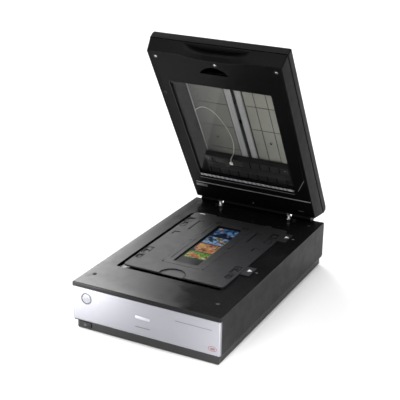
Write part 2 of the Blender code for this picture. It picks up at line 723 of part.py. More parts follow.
def tube_form(route, radius, sides=8, per_span=3):
    """Tube along a smooth curve through the route's points."""
    points = [Vector(p) for p in route]
    padded = [points[0] * 2 - points[1], *points, points[-1] * 2 - points[-2]]
    path = []
    for i in range(1, len(padded) - 2):
        before, here, there, after = padded[i - 1:i + 3]
        for k in range(per_span):
            t = k / per_span
            path.append(0.5 * (2 * here + (there - before) * t
                               + (2 * before - 5 * here + 4 * there - after) * t * t
                               + (3 * here - before - 3 * there + after) * t ** 3))
    path.append(points[-1])
    loops, across = [], Vector((1, 0, 0))
    for i, here in enumerate(path):
        ahead = path[min(i + 1, len(path) - 1)] - path[max(i - 1, 0)]
        ahead.normalize()
        across = (across - ahead * across.dot(ahead)).normalized()
        second = ahead.cross(across)
        turns = [2 * math.pi * k / sides for k in range(sides)]
        loops.append([here + radius * (across * math.cos(t) + second * math.sin(t))
                      for t in turns])
    return loft(loops)


# ---------------------------------------------------------------- film holder
L_SLOTS = (  # (x of the long leg, front end, rear end, reach of the foot at the rear end)
    (-98.0, 30.0, 47.0, 13.0),
    (-79.0, 67.0, 121.0, 12.0),
    (55.0, 65.0, 118.0, 12.0),
    (82.0, 30.0, 47.0, 13.0),
)
SLOT_W = 2.8


def l_slot(x, front, rear, reach):
    """Outline of an L: a leg along Y and a foot to the right at its rear end."""
    return [(x, front), (x + SLOT_W, front), (x + SLOT_W, rear - SLOT_W), (x + reach, rear - SLOT_W),
            (x + reach, rear), (x, rear)]


def build_film_holder(grey, film, body, cover_body, slider_bodies):
    z0, z1 = HOLDER_Z
    plate = prism(rounded(*HOLDER_X, *HOLDER_Y, 7), z0, z1)
    tab_z = (z0 + 0.3, z1 - 0.6)
    tabs = []
    for x_lo, x_hi, y_lo, y_hi in ((100, 126, -75, -38), (100, 124, 104, 145),
                                   (-91, -61, 150, 166), (57, 68, 150, 166)):
        tabs.append(block((x_lo, y_lo, tab_z[0]), (x_hi, y_hi, tab_z[1])))
    recess = block((COVER_X[0] - 0.4, COVER_Y[0] - 0.4, COVER_Z[0] - GAP),
                   (COVER_X[1] + 0.4, COVER_Y[1] + 0.4, z1 + 5))
    channel = block((FILM_X[0] - 0.5, FILM_Y[0] - 2, FILM_Z[0] - 0.2),
                    (FILM_X[1] + 0.5, FILM_Y[1] + 2, z1 + 6))
    window = prism(rounded(*FRAME_X, *FRAME_Y, 1.5, 2), z0 - 5, z1 + 7)
    notch = [(-28, -160), (22, -160), (22, -134), (14, -122), (4, -116.5), (-10, -116.5),
             (-20, -122), (-28, -134)]
    finger_recess = prism(notch, z1 - FINGER_RECESS, z1 + 5)
    slots = [prism(l_slot(*slot), z0 - 5, z1 + 5) for slot in L_SLOTS]
    pockets = []
    for x, y0, y1 in SLIDER_POCKETS.values():
        pockets.append(block((x - 4.6, y0, COVER_Z[0] - GAP), (x + 4.6, y1, z1 + 5)))
    node("film_holder_plate", plate, grey, body, adds=tabs,
         cuts=[[recess], [channel], [window], [finger_recess] + slots + pockets])
    node("film_strip", block((FILM_X[0], FILM_Y[0], FILM_Z[0]), (FILM_X[1], FILM_Y[1], FILM_Z[1])),
         film, body)
    node("film_cover",
         block((COVER_X[0], COVER_Y[0], COVER_Z[0]), (COVER_X[1], COVER_Y[1], COVER_Z[1])),
         grey, cover_body, cuts=[[prism(rounded(*FRAME_X, *FRAME_Y, 1.5, 2), 90, 110)]])
    for name, (x, y0, y1) in SLIDER_POCKETS.items():
        middle = (y0 + y1) / 2
        low = (x - 4.2, middle - 6, COVER_Z[0])
        high = (x + 4.2, middle + 6, HOLDER_Z[1] + 0.3)
        node(f"height_slider_{name}", block(low, high), grey, slider_bodies[name], bevel=0.3)


SLIDER_POCKETS = {  # name: (x of the middle, front end, rear end)
    "front_left": (-99.0, -103.0, -63.0),
    "rear_left": (-99.0, 86.0, 126.0),
    "front_right": (94.0, -103.0, -63.0),
    "rear_right": (94.0, 88.0, 128.0),
}


# ---------------------------------------------------------------- assembly
def main():
    clear_scene()
    dark = material("dark_plastic", CHARCOAL, 0.42)
    plinth = material("plinth_plastic", (0.03, 0.03, 0.032), 0.5)
    silver_paint = material("silver_fascia", SILVER, 0.35, 0.4)
    black = material("black_plastic", BLACK, 0.35)
    grey = material("holder_plastic", HOLDER_GREY, 0.55)
    glass = material("clear_glass", (0.75, 0.8, 0.8), 0.03, 0.0, 0.3)
    rubber = material("rubber", (0.02, 0.02, 0.02), 0.8)
    steel = material("steel", STEEL, 0.35, 1.0)
    blackened = material("blackened_steel", (0.03, 0.03, 0.032), 0.5)
    bright = material("bright_metal", (0.78, 0.78, 0.8), 0.25, 1.0)
    tray_grey = material("tray_plastic", (0.13, 0.13, 0.135), 0.6)
    lamp = material("lamp_glass", (0.9, 0.9, 0.88), 0.2)
    mirror = material("mirror_glass", (0.85, 0.86, 0.88), 0.05, 1.0)
    board = material("circuit_board", (0.02, 0.12, 0.05), 0.5)
    button = material("button_silver", (0.6, 0.6, 0.64), 0.3, 0.3)
    film = material("film", (0.05, 0.04, 0.03), 0.2)
    cable = material("cable_jacket", (0.35, 0.35, 0.36), 0.5)

    build_lower_casing(plinth)
    build_upper_casing(dark)
    build_fascia(silver_paint)
    build_platen_glass(glass)
    build_feet(rubber)
    build_chassis(blackened, steel, board)
    build_drive(dark, steel, rubber)
    motor_axis = Body("motor_pulley_axis", (BELT_X, MOTOR_Y, BELT_Z[0]))
    idler_axis = Body("idler_pulley_axis", (BELT_X, IDLER_Y, BELT_Z[0]))
    build_pulleys(bright, motor_axis, idler_axis)
    carriage = Body("carriage_travel", (ROD_X, CARRIAGE_Y[0], ROD_Z))
    build_carriage(black, lamp, mirror, black, board, carriage)
    build_rear_panel(steel, black)
    start = Body("start_press", (START_X, -HALF_D, START_Z))
    power = Body("power_press", (sum(POWER_X) / 2, -HALF_D, sum(POWER_Z) / 2))
    lock = Body("lock_slide", (101.5, HALF_D, 48))
    build_controls(black, button, start, power, lock)

    legs = Body("lid_lift", (0, HINGE_Y, HINGE_Z))
    build_hinge_base(black, bright, legs)
    shut = Vector((0, SHUT_REAR_Y - HINGE_Y, BASE_TOP + SHUT_GAP - HINGE_Z))

    def lid_place(p):
        """(x, along, up) to the shut lid's place from the hinge axis."""
        return Vector((p.x, shut.y - p.y, shut.z + p.z))

    lid = Body("lid_hinge", (0, HINGE_Y, HINGE_Z), -LID_OPEN_DEG, lid_place)
    build_hinge_bracket(black, lid)
    build_lid_shells(dark, lid)
    build_lid_inside(black, glass, bright, tray_grey, dark, lid)
    build_lid_lamp(black, lamp, lid)
    build_lamp_cable(cable, lid)

    holder = Body("film_holder_lift", (0, 0, HOLDER_Z[0]))
    cover = Body("film_cover_hinge", (COVER_X[0], 0, HOLDER_Z[1]))
    sliders = {}
    for name, (x, y0, y1) in SLIDER_POCKETS.items():
        sliders[name] = Body(f"height_{name}", (x, (y0 + y1) / 2, COVER_Z[0]))
    build_film_holder(grey, film, holder, cover, sliders)


main()
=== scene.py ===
"""Looks of the flatbed film scanner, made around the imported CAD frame.

Helper arguments are in millimetres. Pieces of the base use the row frame; pieces of the lid use
the lid's own coordinates (x, along, up): along runs forward from its lower rear edge, and up
from its underside into the lid.
"""

import json
import math

import bmesh
import bpy
from mathutils import Matrix, Vector

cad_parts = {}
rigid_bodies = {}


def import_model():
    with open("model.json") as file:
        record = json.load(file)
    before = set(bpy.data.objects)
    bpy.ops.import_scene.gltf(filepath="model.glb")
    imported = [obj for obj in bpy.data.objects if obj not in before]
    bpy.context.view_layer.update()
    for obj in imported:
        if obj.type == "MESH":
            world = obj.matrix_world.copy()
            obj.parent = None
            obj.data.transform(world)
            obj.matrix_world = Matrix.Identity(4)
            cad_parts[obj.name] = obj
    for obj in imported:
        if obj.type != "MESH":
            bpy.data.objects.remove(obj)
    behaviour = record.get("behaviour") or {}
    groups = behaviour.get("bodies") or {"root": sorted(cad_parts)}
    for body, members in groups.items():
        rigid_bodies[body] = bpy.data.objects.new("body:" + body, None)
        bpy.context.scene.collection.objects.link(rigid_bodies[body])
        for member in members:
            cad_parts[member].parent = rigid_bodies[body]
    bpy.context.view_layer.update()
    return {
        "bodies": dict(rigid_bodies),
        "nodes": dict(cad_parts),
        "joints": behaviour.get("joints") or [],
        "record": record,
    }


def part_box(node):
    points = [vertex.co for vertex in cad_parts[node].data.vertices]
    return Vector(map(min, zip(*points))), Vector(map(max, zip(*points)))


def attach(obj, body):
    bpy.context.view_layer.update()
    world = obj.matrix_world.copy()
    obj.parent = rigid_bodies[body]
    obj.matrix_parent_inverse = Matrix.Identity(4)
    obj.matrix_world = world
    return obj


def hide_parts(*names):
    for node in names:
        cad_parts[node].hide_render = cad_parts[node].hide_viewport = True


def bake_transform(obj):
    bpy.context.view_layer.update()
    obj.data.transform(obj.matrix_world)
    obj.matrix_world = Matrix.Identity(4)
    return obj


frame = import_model()

# ---------------------------------------------------------------- places taken from the frame
NODES = frame["nodes"]
JOINTS = {joint["name"]: joint for joint in frame["joints"]}
HINGE = Vector(JOINTS["lid_hinge"]["pos_m"])
LID_OPEN = math.radians(-JOINTS["lid_hinge"]["range_deg"][0])
MM = Matrix.Scale(0.001, 4)
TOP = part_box("upper_case")[1].z * 1000
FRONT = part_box("front_fascia")[0].y * 1000
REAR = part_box("upper_case")[1].y * 1000
HOLDER_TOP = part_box("film_holder_plate")[1].z * 1000
COVER_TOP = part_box("film_cover")[1].z * 1000
FILM_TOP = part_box("film_strip")[1].z * 1000
LID_REAR_Y = 206.0  # lower rear edge of the shut lid
SHUT_GAP = 4.0  # between the shut lid's underside and the base's top
SHUT_PLACE = Vector((0, LID_REAR_Y / 1000 - HINGE.y, (TOP + SHUT_GAP) / 1000 - HINGE.z))
LID = (
    Matrix.Translation(HINGE) @ Matrix.Rotation(-LID_OPEN, 4, "X")
    @ Matrix.Translation(SHUT_PLACE) @ Matrix.Diagonal((1, -1, 1, 1)) @ MM
)
PANEL = 0.5  # up of the inner panel's face
TRAY_FLOOR = 29.0  # up of the tray's floor, behind the window
LAMP_X = (-95.0, 102.0)  # the lamp unit's place in the lid
LAMP_A = (80.0, 133.0)
LAMP_FACE = 12.0  # up of the unit's face towards the window
WINDOW = ((-112.0, 105.0), (83.0, 357.0))  # x and along
TRAY_RUN = (64, 363)  # where the tray's long details start and end
SEAM_HALF_W = 144.6  # the lid's outline at its seam
SEAM_REAR, SEAM_FRONT = -21.0, 443.5
SOCKET_FLOOR = 240.3  # y of the floors of the rear sockets
POWER_LED = (-98.0, 67.0)  # x and z of the light in the fascia
FASCIA_INK = 0.1  # how far a printed mark stands off the fascia


def box_mm(name):
    """Low and high corners of a CAD node's box, in millimetres."""
    return tuple(corner * 1000 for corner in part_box(name))


def linear(code):
    """Linear colour of a hex code."""
    parts = [int(code[i:i + 2], 16) / 255 for i in (1, 3, 5)]
    return tuple(c / 12.92 if c <= 0.04045 else ((c + 0.055) / 1.055) ** 2.4 for c in parts)


def scaled(colour, share):
    return tuple(min(1.0, c * share) for c in colour)


# ---------------------------------------------------------------- materials
class Shade:
    """A material under construction. Its textures use object coordinates, in metres."""

    def __init__(self, name, colour, roughness=0.5, metallic=0.0):
        self.mat = bpy.data.materials.new(name)
        self.mat.use_nodes = True
        self.tree = self.mat.node_tree
        self.shader = self.tree.nodes["Principled BSDF"]
        self.set("Base Color", (*colour, 1.0))
        self.set("Roughness", roughness)
        self.set("Metallic", metallic)
        self.where = self.add("ShaderNodeTexCoord").outputs["Object"]

    def add(self, kind, **settings):
        node = self.tree.nodes.new(kind)
        for key, value in settings.items():
            setattr(node, key, value)
        return node

    def put(self, value, socket):
        """Feeds a socket from another one, or sets it."""
        if isinstance(value, bpy.types.NodeSocket):
            self.tree.links.new(value, socket)
        else:
            socket.default_value = value

    def set(self, name, value):
        self.put(value, self.shader.inputs[name])

    def noise(self, scale, detail=2.0, stretch=(1, 1, 1)):
        mapping = self.add("ShaderNodeMapping")
        self.put(self.where, mapping.inputs["Vector"])
        mapping.inputs["Scale"].default_value = stretch
        node = self.add("ShaderNodeTexNoise")
        self.put(mapping.outputs["Vector"], node.inputs["Vector"])
        node.inputs["Scale"].default_value = scale
        node.inputs["Detail"].default_value = detail
        return node.outputs["Fac"]

    def cells(self, scale):
        node = self.add("ShaderNodeTexVoronoi")
        self.put(self.where, node.inputs["Vector"])
        node.inputs["Scale"].default_value = scale
        return node.outputs["Distance"]

    def span(self, value, low, high, start=0.3, end=0.7):
        """The value's stretch from start to end as low to high."""
        node = self.add("ShaderNodeMapRange")
        self.put(value, node.inputs["Value"])
        for name, number in (("From Min", start), ("From Max", end), ("To Min", low),
                             ("To Max", high)):
            node.inputs[name].default_value = number
        return node.outputs["Result"]

    def mix(self, factor, first, second):
        node = self.add("ShaderNodeMix", data_type="RGBA")
        self.put(factor, node.inputs[0])
        for value, socket in ((first, node.inputs[6]), (second, node.inputs[7])):
            self.put((*value, 1.0) if isinstance(value, tuple) else value, socket)
        return node.outputs[2]

    def ramp(self, value, colours, interpolation="LINEAR"):
        node = self.add("ShaderNodeValToRGB")
        self.put(value, node.inputs["Fac"])
        ramp = node.color_ramp
        ramp.interpolation = interpolation
        for _ in colours[2:]:
            ramp.elements.new(0.5)
        for number, (element, colour) in enumerate(zip(ramp.elements, colours)):
            element.position = 0.3 + 0.4 * number / (len(colours) - 1)
            element.color = (*colour, 1.0)
        return node.outputs["Color"]

    def sums(self, first, second, operation="ADD"):
        node = self.add("ShaderNodeMath", operation=operation)
        self.put(first, node.inputs[0])
        self.put(second, node.inputs[1])
        return node.outputs["Value"]

    def soft_edges(self, radius):
        """Normal rounded over the edges, and how near an edge a point is, from 0 to 1."""
        bevel = self.add("ShaderNodeBevel", samples=6)
        bevel.inputs["Radius"].default_value = radius
        geometry = self.add("ShaderNodeNewGeometry")
        dot = self.add("ShaderNodeVectorMath", operation="DOT_PRODUCT")
        self.put(bevel.outputs["Normal"], dot.inputs[0])
        self.put(geometry.outputs["Normal"], dot.inputs[1])
        near = self.span(dot.outputs["Value"], 1.0, 0.0, 0.80, 0.99)
        return bevel.outputs["Normal"], near

    def relief(self, height, depth, normal=None):
        bump = self.add("ShaderNodeBump")
        bump.inputs["Strength"].default_value = 1.0
        bump.inputs["Distance"].default_value = depth
        self.put(height, bump.inputs["Height"])
        if normal is not None:
            self.put(normal, bump.inputs["Normal"])
        self.set("Normal", bump.outputs["Normal"])


def moulded(name, code, roughness, grain=1100.0, depth=3e-5, mottle=0.10, edge=5e-4, wear=1.5,
            metallic=0.0, specular=0.5, spread=0.05, polished=None):
    """Moulded plastic or cast metal: fine spark-eroded grain, broad tone changes, worn edges.

    Above the height polished, in metres, the surface is smoother and shinier than below it.
    """
    colour = linear(code)
    shade = Shade(name, colour, roughness, metallic)
    shade.set("Specular IOR Level", specular)
    broad = shade.noise(16.0, 3.0)
    fine = shade.noise(grain, 2.0)
    normal, near = shade.soft_edges(edge)
    tone = shade.mix(shade.span(broad, 0, 1), scaled(colour, 1 - mottle),
                     scaled(colour, 1 + mottle))
    specks = shade.mix(shade.span(fine, 0, 1, 0.35, 0.65), scaled(colour, 0.85),
                       scaled(colour, 1.15))
    tone = shade.mix(0.5, tone, specks)
    rubbed = shade.sums(near, shade.span(broad, 0.3, 0.9), "MULTIPLY")
    shade.set("Base Color", shade.mix(rubbed, tone, scaled(colour, wear)))
    uneven = shade.noise(55.0, 4.0)
    rough = shade.span(uneven, roughness - spread, roughness + spread)
    if polished:
        axes = shade.add("ShaderNodeSeparateXYZ")
        shade.put(shade.where, axes.inputs["Vector"])
        step = (polished - 1e-3, polished)
        shade.set("Specular IOR Level", shade.span(axes.outputs["Z"], 0.09, specular, *step))
        rough = shade.sums(rough, shade.span(axes.outputs["Z"], 0.2, 0.0, *step))
    shade.set("Roughness", rough)
    shade.relief(fine, depth, normal)
    return shade.mat


def tray_plastic(name):
    """Grey moulding, a little yellowish on its right, with painted shade darkening it towards its left side.
    """
    shade = Shade(name, linear("#7c7c79"), 0.5)
    axes = shade.add("ShaderNodeSeparateXYZ")
    shade.put(shade.where, axes.inputs["Vector"])
    # Painted shade: the colour goes from the unshaded tone at x = 0.1 m to a dark one at x = -0.1 m.
    across = shade.span(axes.outputs["X"], 0, 1, -0.1, 0.1)
    cloud = shade.noise(12.0, 3.0)
    painted_shade_side = shade.mix(shade.span(cloud, 0, 1), linear("#3c3c3d"), linear("#484849"))
    unshaded_side = shade.mix(shade.span(cloud, 0, 1), linear("#85857e"), linear("#92928a"))
    shade.set("Base Color", shade.mix(across, painted_shade_side, unshaded_side))
    shade.set("Roughness", shade.span(shade.noise(55.0, 4.0), 0.45, 0.55))
    shade.set("Specular IOR Level", 0.3)
    shade.relief(shade.noise(1100.0), 6e-6)
    return shade.mat


def silver_paint(name):
    """Satin metallic paint: fine flakes in a clear binder."""
    colour = linear("#86868c")
    shade = Shade(name, colour, 0.38, 0.6)
    flakes = shade.cells(1500.0)
    cloud = shade.noise(9.0, 3.0, (1.0, 1.0, 2.5))
    normal, near = shade.soft_edges(6e-4)
    tone = shade.mix(shade.span(flakes, 0, 1, 0.1, 0.6), scaled(colour, 1.06), scaled(colour, 0.92))
    tone = shade.mix(shade.span(cloud, 0.0, 0.35), tone, scaled(colour, 0.93))
    shade.set("Base Color", shade.mix(shade.sums(near, 0.5, "MULTIPLY"), tone, linear("#f1f1f4")))
    shade.set("Roughness", shade.span(shade.noise(40.0, 4.0), 0.36, 0.44))
    shade.relief(flakes, 1.2e-5, normal)
    return shade.mat


def metal(name, code, roughness, stretch=(1, 1, 1), scale=700.0, depth=8e-6):
    """Bare metal with a fine grain, drawn out one way where stretch says so."""
    colour = linear(code)
    shade = Shade(name, colour, roughness, 1.0)
    grain = shade.noise(scale, 3.0, stretch)
    broad = shade.noise(30.0, 3.0)
    normal, near = shade.soft_edges(3e-4)
    tone = shade.mix(shade.span(grain, 0, 1), scaled(colour, 0.86), scaled(colour, 1.06))
    shade.set("Base Color", shade.mix(shade.span(broad, 0, 0.4), tone, scaled(colour, 0.78)))
    rough = shade.sums(shade.span(grain, roughness * 0.8, roughness * 1.25),
                       shade.sums(near, -0.05, "MULTIPLY"))
    shade.set("Roughness", rough)
    shade.relief(grain, depth, normal)
    return shade.mat


def rubber(name, code="#1b1b1c"):
    colour = linear(code)
    shade = Shade(name, colour, 0.75)
    fine = shade.noise(1800.0, 3.0)
    dust = shade.noise(70.0, 5.0)
    normal, near = shade.soft_edges(4e-4)
    tone = shade.mix(shade.span(dust, 0, 0.5, 0.5, 0.75), colour, linear("#4a4947"))
    shade.set("Base Color", shade.mix(shade.sums(near, 0.4, "MULTIPLY"), tone, linear("#3a3a3a")))
    shade.set("Roughness", shade.span(dust, 0.68, 0.85))
    shade.relief(fine, 4e-5, normal)
    return shade.mat


def glass(name, tint, smudge, ior):
    """Sheet glass. Lamps' rays pass it straight, and the rest sees its reflections."""
    shade = Shade(name, linear(tint), 0.0)
    shade.set("Transmission Weight", 1.0)
    shade.set("IOR", ior)
    wipes = shade.noise(22.0, 4.0, (1.0, 2.4, 1.0))
    shade.set("Roughness", shade.span(wipes, 0.0, smudge, 0.5, 0.8))
    clear = shade.add("ShaderNodeBsdfTransparent")
    clear.inputs["Color"].default_value = (0.92, 0.93, 0.93, 1.0)
    path = shade.add("ShaderNodeLightPath")
    both = shade.add("ShaderNodeMixShader")
    shade.put(path.outputs["Is Shadow Ray"], both.inputs[0])
    shade.put(shade.shader.outputs[0], both.inputs[1])
    shade.put(clear.outputs[0], both.inputs[2])
    shade.put(both.outputs[0], shade.tree.nodes["Material Output"].inputs["Surface"])
    return shade.mat


def opal(name):
    """Lamp tube: milky glass with a phosphor coat, greyer at its ends."""
    colour = linear("#efeeea")
    shade = Shade(name, colour, 0.18)
    coat = shade.noise(240.0, 3.0)
    bands = shade.noise(35.0, 2.0)
    tone = shade.mix(shade.span(coat, 0, 1), scaled(colour, 0.93), colour)
    shade.set("Base Color", shade.mix(shade.span(bands, 0, 0.3), tone, linear("#c9cacc")))
    shade.set("Roughness", shade.span(coat, 0.14, 0.24))
    shade.set("Coat Weight", 0.5)
    return shade.mat


def mirror(name):
    shade = Shade(name, linear("#dfe3e6"), 0.03, 1.0)
    dust = shade.noise(400.0, 5.0)
    shade.set("Roughness", shade.span(dust, 0.01, 0.09))
    shade.set("Base Color", shade.mix(shade.span(dust, 0, 1), linear("#e6eaec"), linear("#cfd4d8")))
    return shade.mat


def foil(name):
    """Reflecting foil strip with slanting light and dark bands."""
    shade = Shade(name, linear("#c9c9cb"), 0.5, 0.2)
    bands = shade.add("ShaderNodeTexWave", bands_direction="DIAGONAL")
    shade.put(shade.where, bands.inputs["Vector"])
    for key, value in (("Scale", 60.0), ("Distortion", 5.0), ("Detail", 3.0)):
        bands.inputs[key].default_value = value
    tone = shade.span(bands.outputs["Fac"], 0, 1, 0.15, 0.85)
    shade.set("Base Color", shade.mix(tone, linear("#77777a"), linear("#b4b4b6")))
    shade.set("Roughness", shade.span(tone, 0.5, 0.6))
    shade.relief(tone, 6e-6)
    return shade.mat


def board(name):
    """Circuit board: solder mask with traces in two directions."""
    shade = Shade(name, linear("#1d5a35"), 0.35)
    one = shade.noise(260.0, 1.0, (0.12, 1.0, 1.0))
    two = shade.noise(260.0, 1.0, (1.0, 0.12, 1.0))
    traces = shade.sums(shade.span(one, 0, 1, 0.52, 0.55), shade.span(two, 0, 1, 0.52, 0.55),
                        "MAXIMUM")
    shade.set("Base Color", shade.mix(traces, linear("#1a4d2e"), linear("#2f7d4b")))
    shade.set("Roughness", shade.span(one, 0.28, 0.42))
    shade.relief(traces, 3e-5)
    return shade.mat


def picture(name, codes, scale):
    """A patch of a photographic picture: busy colours on glossy film."""
    colours = [scaled(linear(code), 0.62) for code in codes]
    shade = Shade(name, colours[0], 0.4)
    shade.set("Specular IOR Level", 0.2)
    busy = shade.noise(scale, 4.0)
    grain = shade.noise(2600.0, 2.0)
    shade.set("Base Color", shade.mix(shade.span(grain, 0.0, 0.12), shade.ramp(busy, colours),
                                      (0.02, 0.02, 0.02)))
    shade.set("Roughness", shade.span(busy, 0.35, 0.45))
    shade.relief(grain, 4e-6)
    return shade.mat


def film_base(name):
    shade = Shade(name, linear("#0d0d0a"), 0.35)
    shade.set("Specular IOR Level", 0.2)
    streak = shade.noise(90.0, 4.0, (1.0, 0.1, 1.0))
    shade.set("Base Color", shade.mix(shade.span(streak, 0, 1), linear("#040403"), linear("#0d0d0a")))
    shade.set("Roughness", shade.span(streak, 0.3, 0.42))
    shade.relief(streak, 6e-6)
    return shade.mat


def painted_mark(name, code, roughness=0.5):
    """Pad-printed ink, a little patchy."""
    colour = linear(code)
    shade = Shade(name, colour, roughness)
    patch = shade.noise(900.0, 3.0)
    shade.set("Base Color", shade.mix(shade.span(patch, 0, 1), scaled(colour, 0.85), colour))
    shade.set("Roughness", shade.span(patch, roughness - 0.08, roughness + 0.08))
    shade.relief(patch, 1e-5)
    return shade.mat


MATS = {
    "casing": moulded("casing", "#131314", 0.20, depth=1.6e-5, wear=1.8, specular=0.21,
                      polished=0.097),
    "lid_casing": moulded("lid_casing", "#121213", 0.40, depth=2.4e-5, wear=2.0, specular=0.05),
    "plinth": moulded("plinth", "#1e1e1f", 0.46, specular=0.3),
    "black": moulded("black", "#101011", 0.34, mottle=0.06, depth=2e-5, specular=0.3),
    "hinge_black": moulded("hinge_black", "#0a0a0b", 0.4, mottle=0.06, specular=0.1, wear=1.2),
    "gloss_black": moulded("gloss_black", "#0b0b0c", 0.20, grain=500.0, mottle=0.05, depth=4e-6,
                           specular=0.3),
    "panel": moulded("panel", "#0b0b0c", 0.33, mottle=0.07, depth=2.0e-5, wear=1.8, specular=0.06),
    "lamp_unit": moulded("lamp_unit", "#232324", 0.40, mottle=0.5, specular=0.3),
    "holder": moulded("holder", "#2a2a2c", 0.46, depth=3.6e-5, wear=1.35, specular=0.35),
    # Black for painted shadow lines on the film holder's relief.
    "holder_shadow_lines": moulded("holder_shadow_lines", "#060607", 0.6, specular=0.1),
    "holder_edge": moulded("holder_edge", "#2a2a2b", 0.5, specular=0.3),
    "tray": tray_plastic("tray"),
    # Painted shade: near-black for the sheet laid over the tray's sloping left wall.
    "tray_shade": moulded("tray_shade", "#1c1c1d", 0.55, mottle=0.2, depth=4e-6, specular=0.15),
    "ridge": moulded("ridge", "#8e8e90", 0.35, mottle=0.05, depth=5e-6, specular=0.6),
    "tray_dark": moulded("tray_dark", "#242425", 0.45),
    "tray_strip": moulded("tray_strip", "#8f8f91", 0.38, mottle=0.06, depth=1e-5),
    "foil": foil("foil"),
    "rail": moulded("rail", "#19191a", 0.30),
    "white_plastic": moulded("white_plastic", "#e2e2de", 0.40, wear=1.0),
    "button": moulded("button", "#75767c", 0.30, grain=600.0, mottle=0.03, depth=6e-6, wear=1.05,
                      metallic=0.3),
    "ring_grey": moulded("ring_grey", "#5b5c61", 0.35, depth=1e-5, wear=1.5),
    "label_grey": moulded("label_grey", "#5d5e60", 0.5, depth=1e-5),
    "silver": silver_paint("silver"),
    "name_plate": metal("name_plate", "#b9b9c2", 0.35, scale=500.0, depth=4e-6),
    "steel": metal("steel", "#a3a3a6", 0.33, (1.0, 0.06, 1.0)),
    "dark_steel": metal("dark_steel", "#3a3a3d", 0.42, (0.06, 1.0, 1.0)),
    "bright": metal("bright", "#c4c4c8", 0.26, scale=500.0, depth=4e-6),
    "gold": metal("gold", "#c9a24a", 0.25),
    "screw": metal("screw", "#c9c9cc", 0.22, scale=1500.0),
    "rubber": rubber("rubber"),
    "cable": rubber("cable", "#a9a9a5"),
    "glass": glass("glass", "#e6eae8", 0.03, 1.3),
    "window_glass": glass("window_glass", "#eeeeec", 0.04, 1.16),
    "opal": opal("opal"),
    "mirror": mirror("mirror"),
    "board": board("board"),
    "film": film_base("film"),
    "mark_white": painted_mark("mark_white", "#f4f4f2"),
    "mark_grey": painted_mark("mark_grey", "#77787b"),
    "mark_dark": painted_mark("mark_dark", "#4c4d52"),
    "badge_red": painted_mark("badge_red", "#7e0f16"),
}

CAD_LOOKS = {
    "casing": ("upper_case", "drive_motor"),
    "lid_casing": ("lid_upper_shell", "lid_lower_shell"),
    "plinth": ("bottom_case",),
    "silver": ("front_fascia",),
    "glass": ("platen_glass",),
    "window_glass": ("lid_window",),
    "dark_steel": ("chassis_plate",),
    "steel": ("guide_rod", "support_rail", "tension_spring", "idler_bracket", "connector_panel"),
    "rubber": ("drive_belt", "foot_front_left", "foot_front_right", "foot_rear_left",
               "foot_rear_right"),
    "black": ("power_inlet", "data_port_square", "data_port_wide", "lid_cable_port",
              "power_button", "transport_lock", "carriage_housing",
              "carriage_cover", "carriage_bearing", "carriage_glide"),
    "hinge_black": ("hinge_socket_left", "hinge_socket_right", "hinge_leg_left",
                    "hinge_leg_right", "lid_hinge_bracket"),
    "lamp_unit": ("lid_lamp_housing",),
    "foil": ("lid_window_trim",),
    "gloss_black": ("lens_barrel",),
    "panel": ("lid_inner_panel",),
    "holder": ("film_holder_plate", "film_cover", "height_slider_front_left",
               "height_slider_rear_left", "height_slider_front_right",
               "height_slider_rear_right"),
    "tray": ("lid_tray",),
    "rail": ("lid_rail",),
    "bright": ("motor_pulley", "idler_pulley", "hinge_post_left", "hinge_post_right"),
    "button": ("start_button",),
    "ring_grey": ("start_button_ring",),
    "opal": ("lamp_tube", "lid_lamp_tube"),
    "mirror": ("mirror_front", "mirror_rear"),
    "board": ("main_board", "sensor_board"),
    "film": ("film_strip",),
    "cable": ("lamp_cable",),
}


def dress_cad_nodes():
    """Gives each CAD node its material, and smooth shading over its curved faces."""
    for look, names in CAD_LOOKS.items():
        for name in names:
            mesh = NODES[name].data
            mesh.materials.clear()
            mesh.materials.append(MATS[look])
            mesh.attributes.remove(mesh.attributes["custom_normal"])
            mesh.shade_smooth()
            weld = NODES[name].modifiers.new("weld", "WELD")
            weld.merge_threshold = 1e-6
            split = NODES[name].modifiers.new("sharp", "EDGE_SPLIT")
            split.split_angle = math.radians(32)
            even = NODES[name].modifiers.new("even", "WEIGHTED_NORMAL")
            even.keep_sharp = True


# ---------------------------------------------------------------- forms, in millimetres
def loft(loops, ring=False):
    """Skin over loops of equal length, capped at both ends or closed into a ring."""
    count = len(loops[0])
    points = [Vector(p) for loop in loops for p in loop]
    faces = []
    for k in range(len(loops) if ring else len(loops) - 1):
        a, b = k * count, (k + 1) % len(loops) * count
        for i in range(count):
            j = (i + 1) % count
            faces.append((a + i, a + j, b + j, b + i))
    if not ring:
        last = (len(loops) - 1) * count
        faces += [tuple(reversed(range(count))), tuple(range(last, last + count))]
    return points, faces


def laid_along(axis):
    """Where an outline's point goes at a height along an axis."""
    return {
        "x": lambda p, h: (h, p[0], p[1]),
        "y": lambda p, h: (p[0], h, p[1]),
        "z": lambda p, h: (p[0], p[1], h),
    }[axis]


def prism(outline, low, high, axis="z"):
    place = laid_along(axis)
    return loft([[place(p, low) for p in outline], [place(p, high) for p in outline]])


def block(low, high):
    corners = [(low[0], low[1]), (high[0], low[1]), (high[0], high[1]), (low[0], high[1])]
    return prism(corners, low[2], high[2])


def circle(cx, cy, radius, sides=24, start=0.0, end=2 * math.pi):
    span = end - start
    return [(cx + radius * math.cos(start + span * i / sides),
             cy + radius * math.sin(start + span * i / sides)) for i in range(sides)]


def rounded(x0, x1, y0, y1, radius, steps=4):
    points = []
    for cx, cy, start in ((x1, y0, -90), (x1, y1, 0), (x0, y1, 90), (x0, y0, 180)):
        mx = cx - math.copysign(radius, cx - (x0 + x1) / 2)
        my = cy - math.copysign(radius, cy - (y0 + y1) / 2)
        for i in range(steps + 1):
            angle = math.radians(start + 90 * i / steps)
            points.append((mx + radius * math.cos(angle), my + radius * math.sin(angle)))
    return points


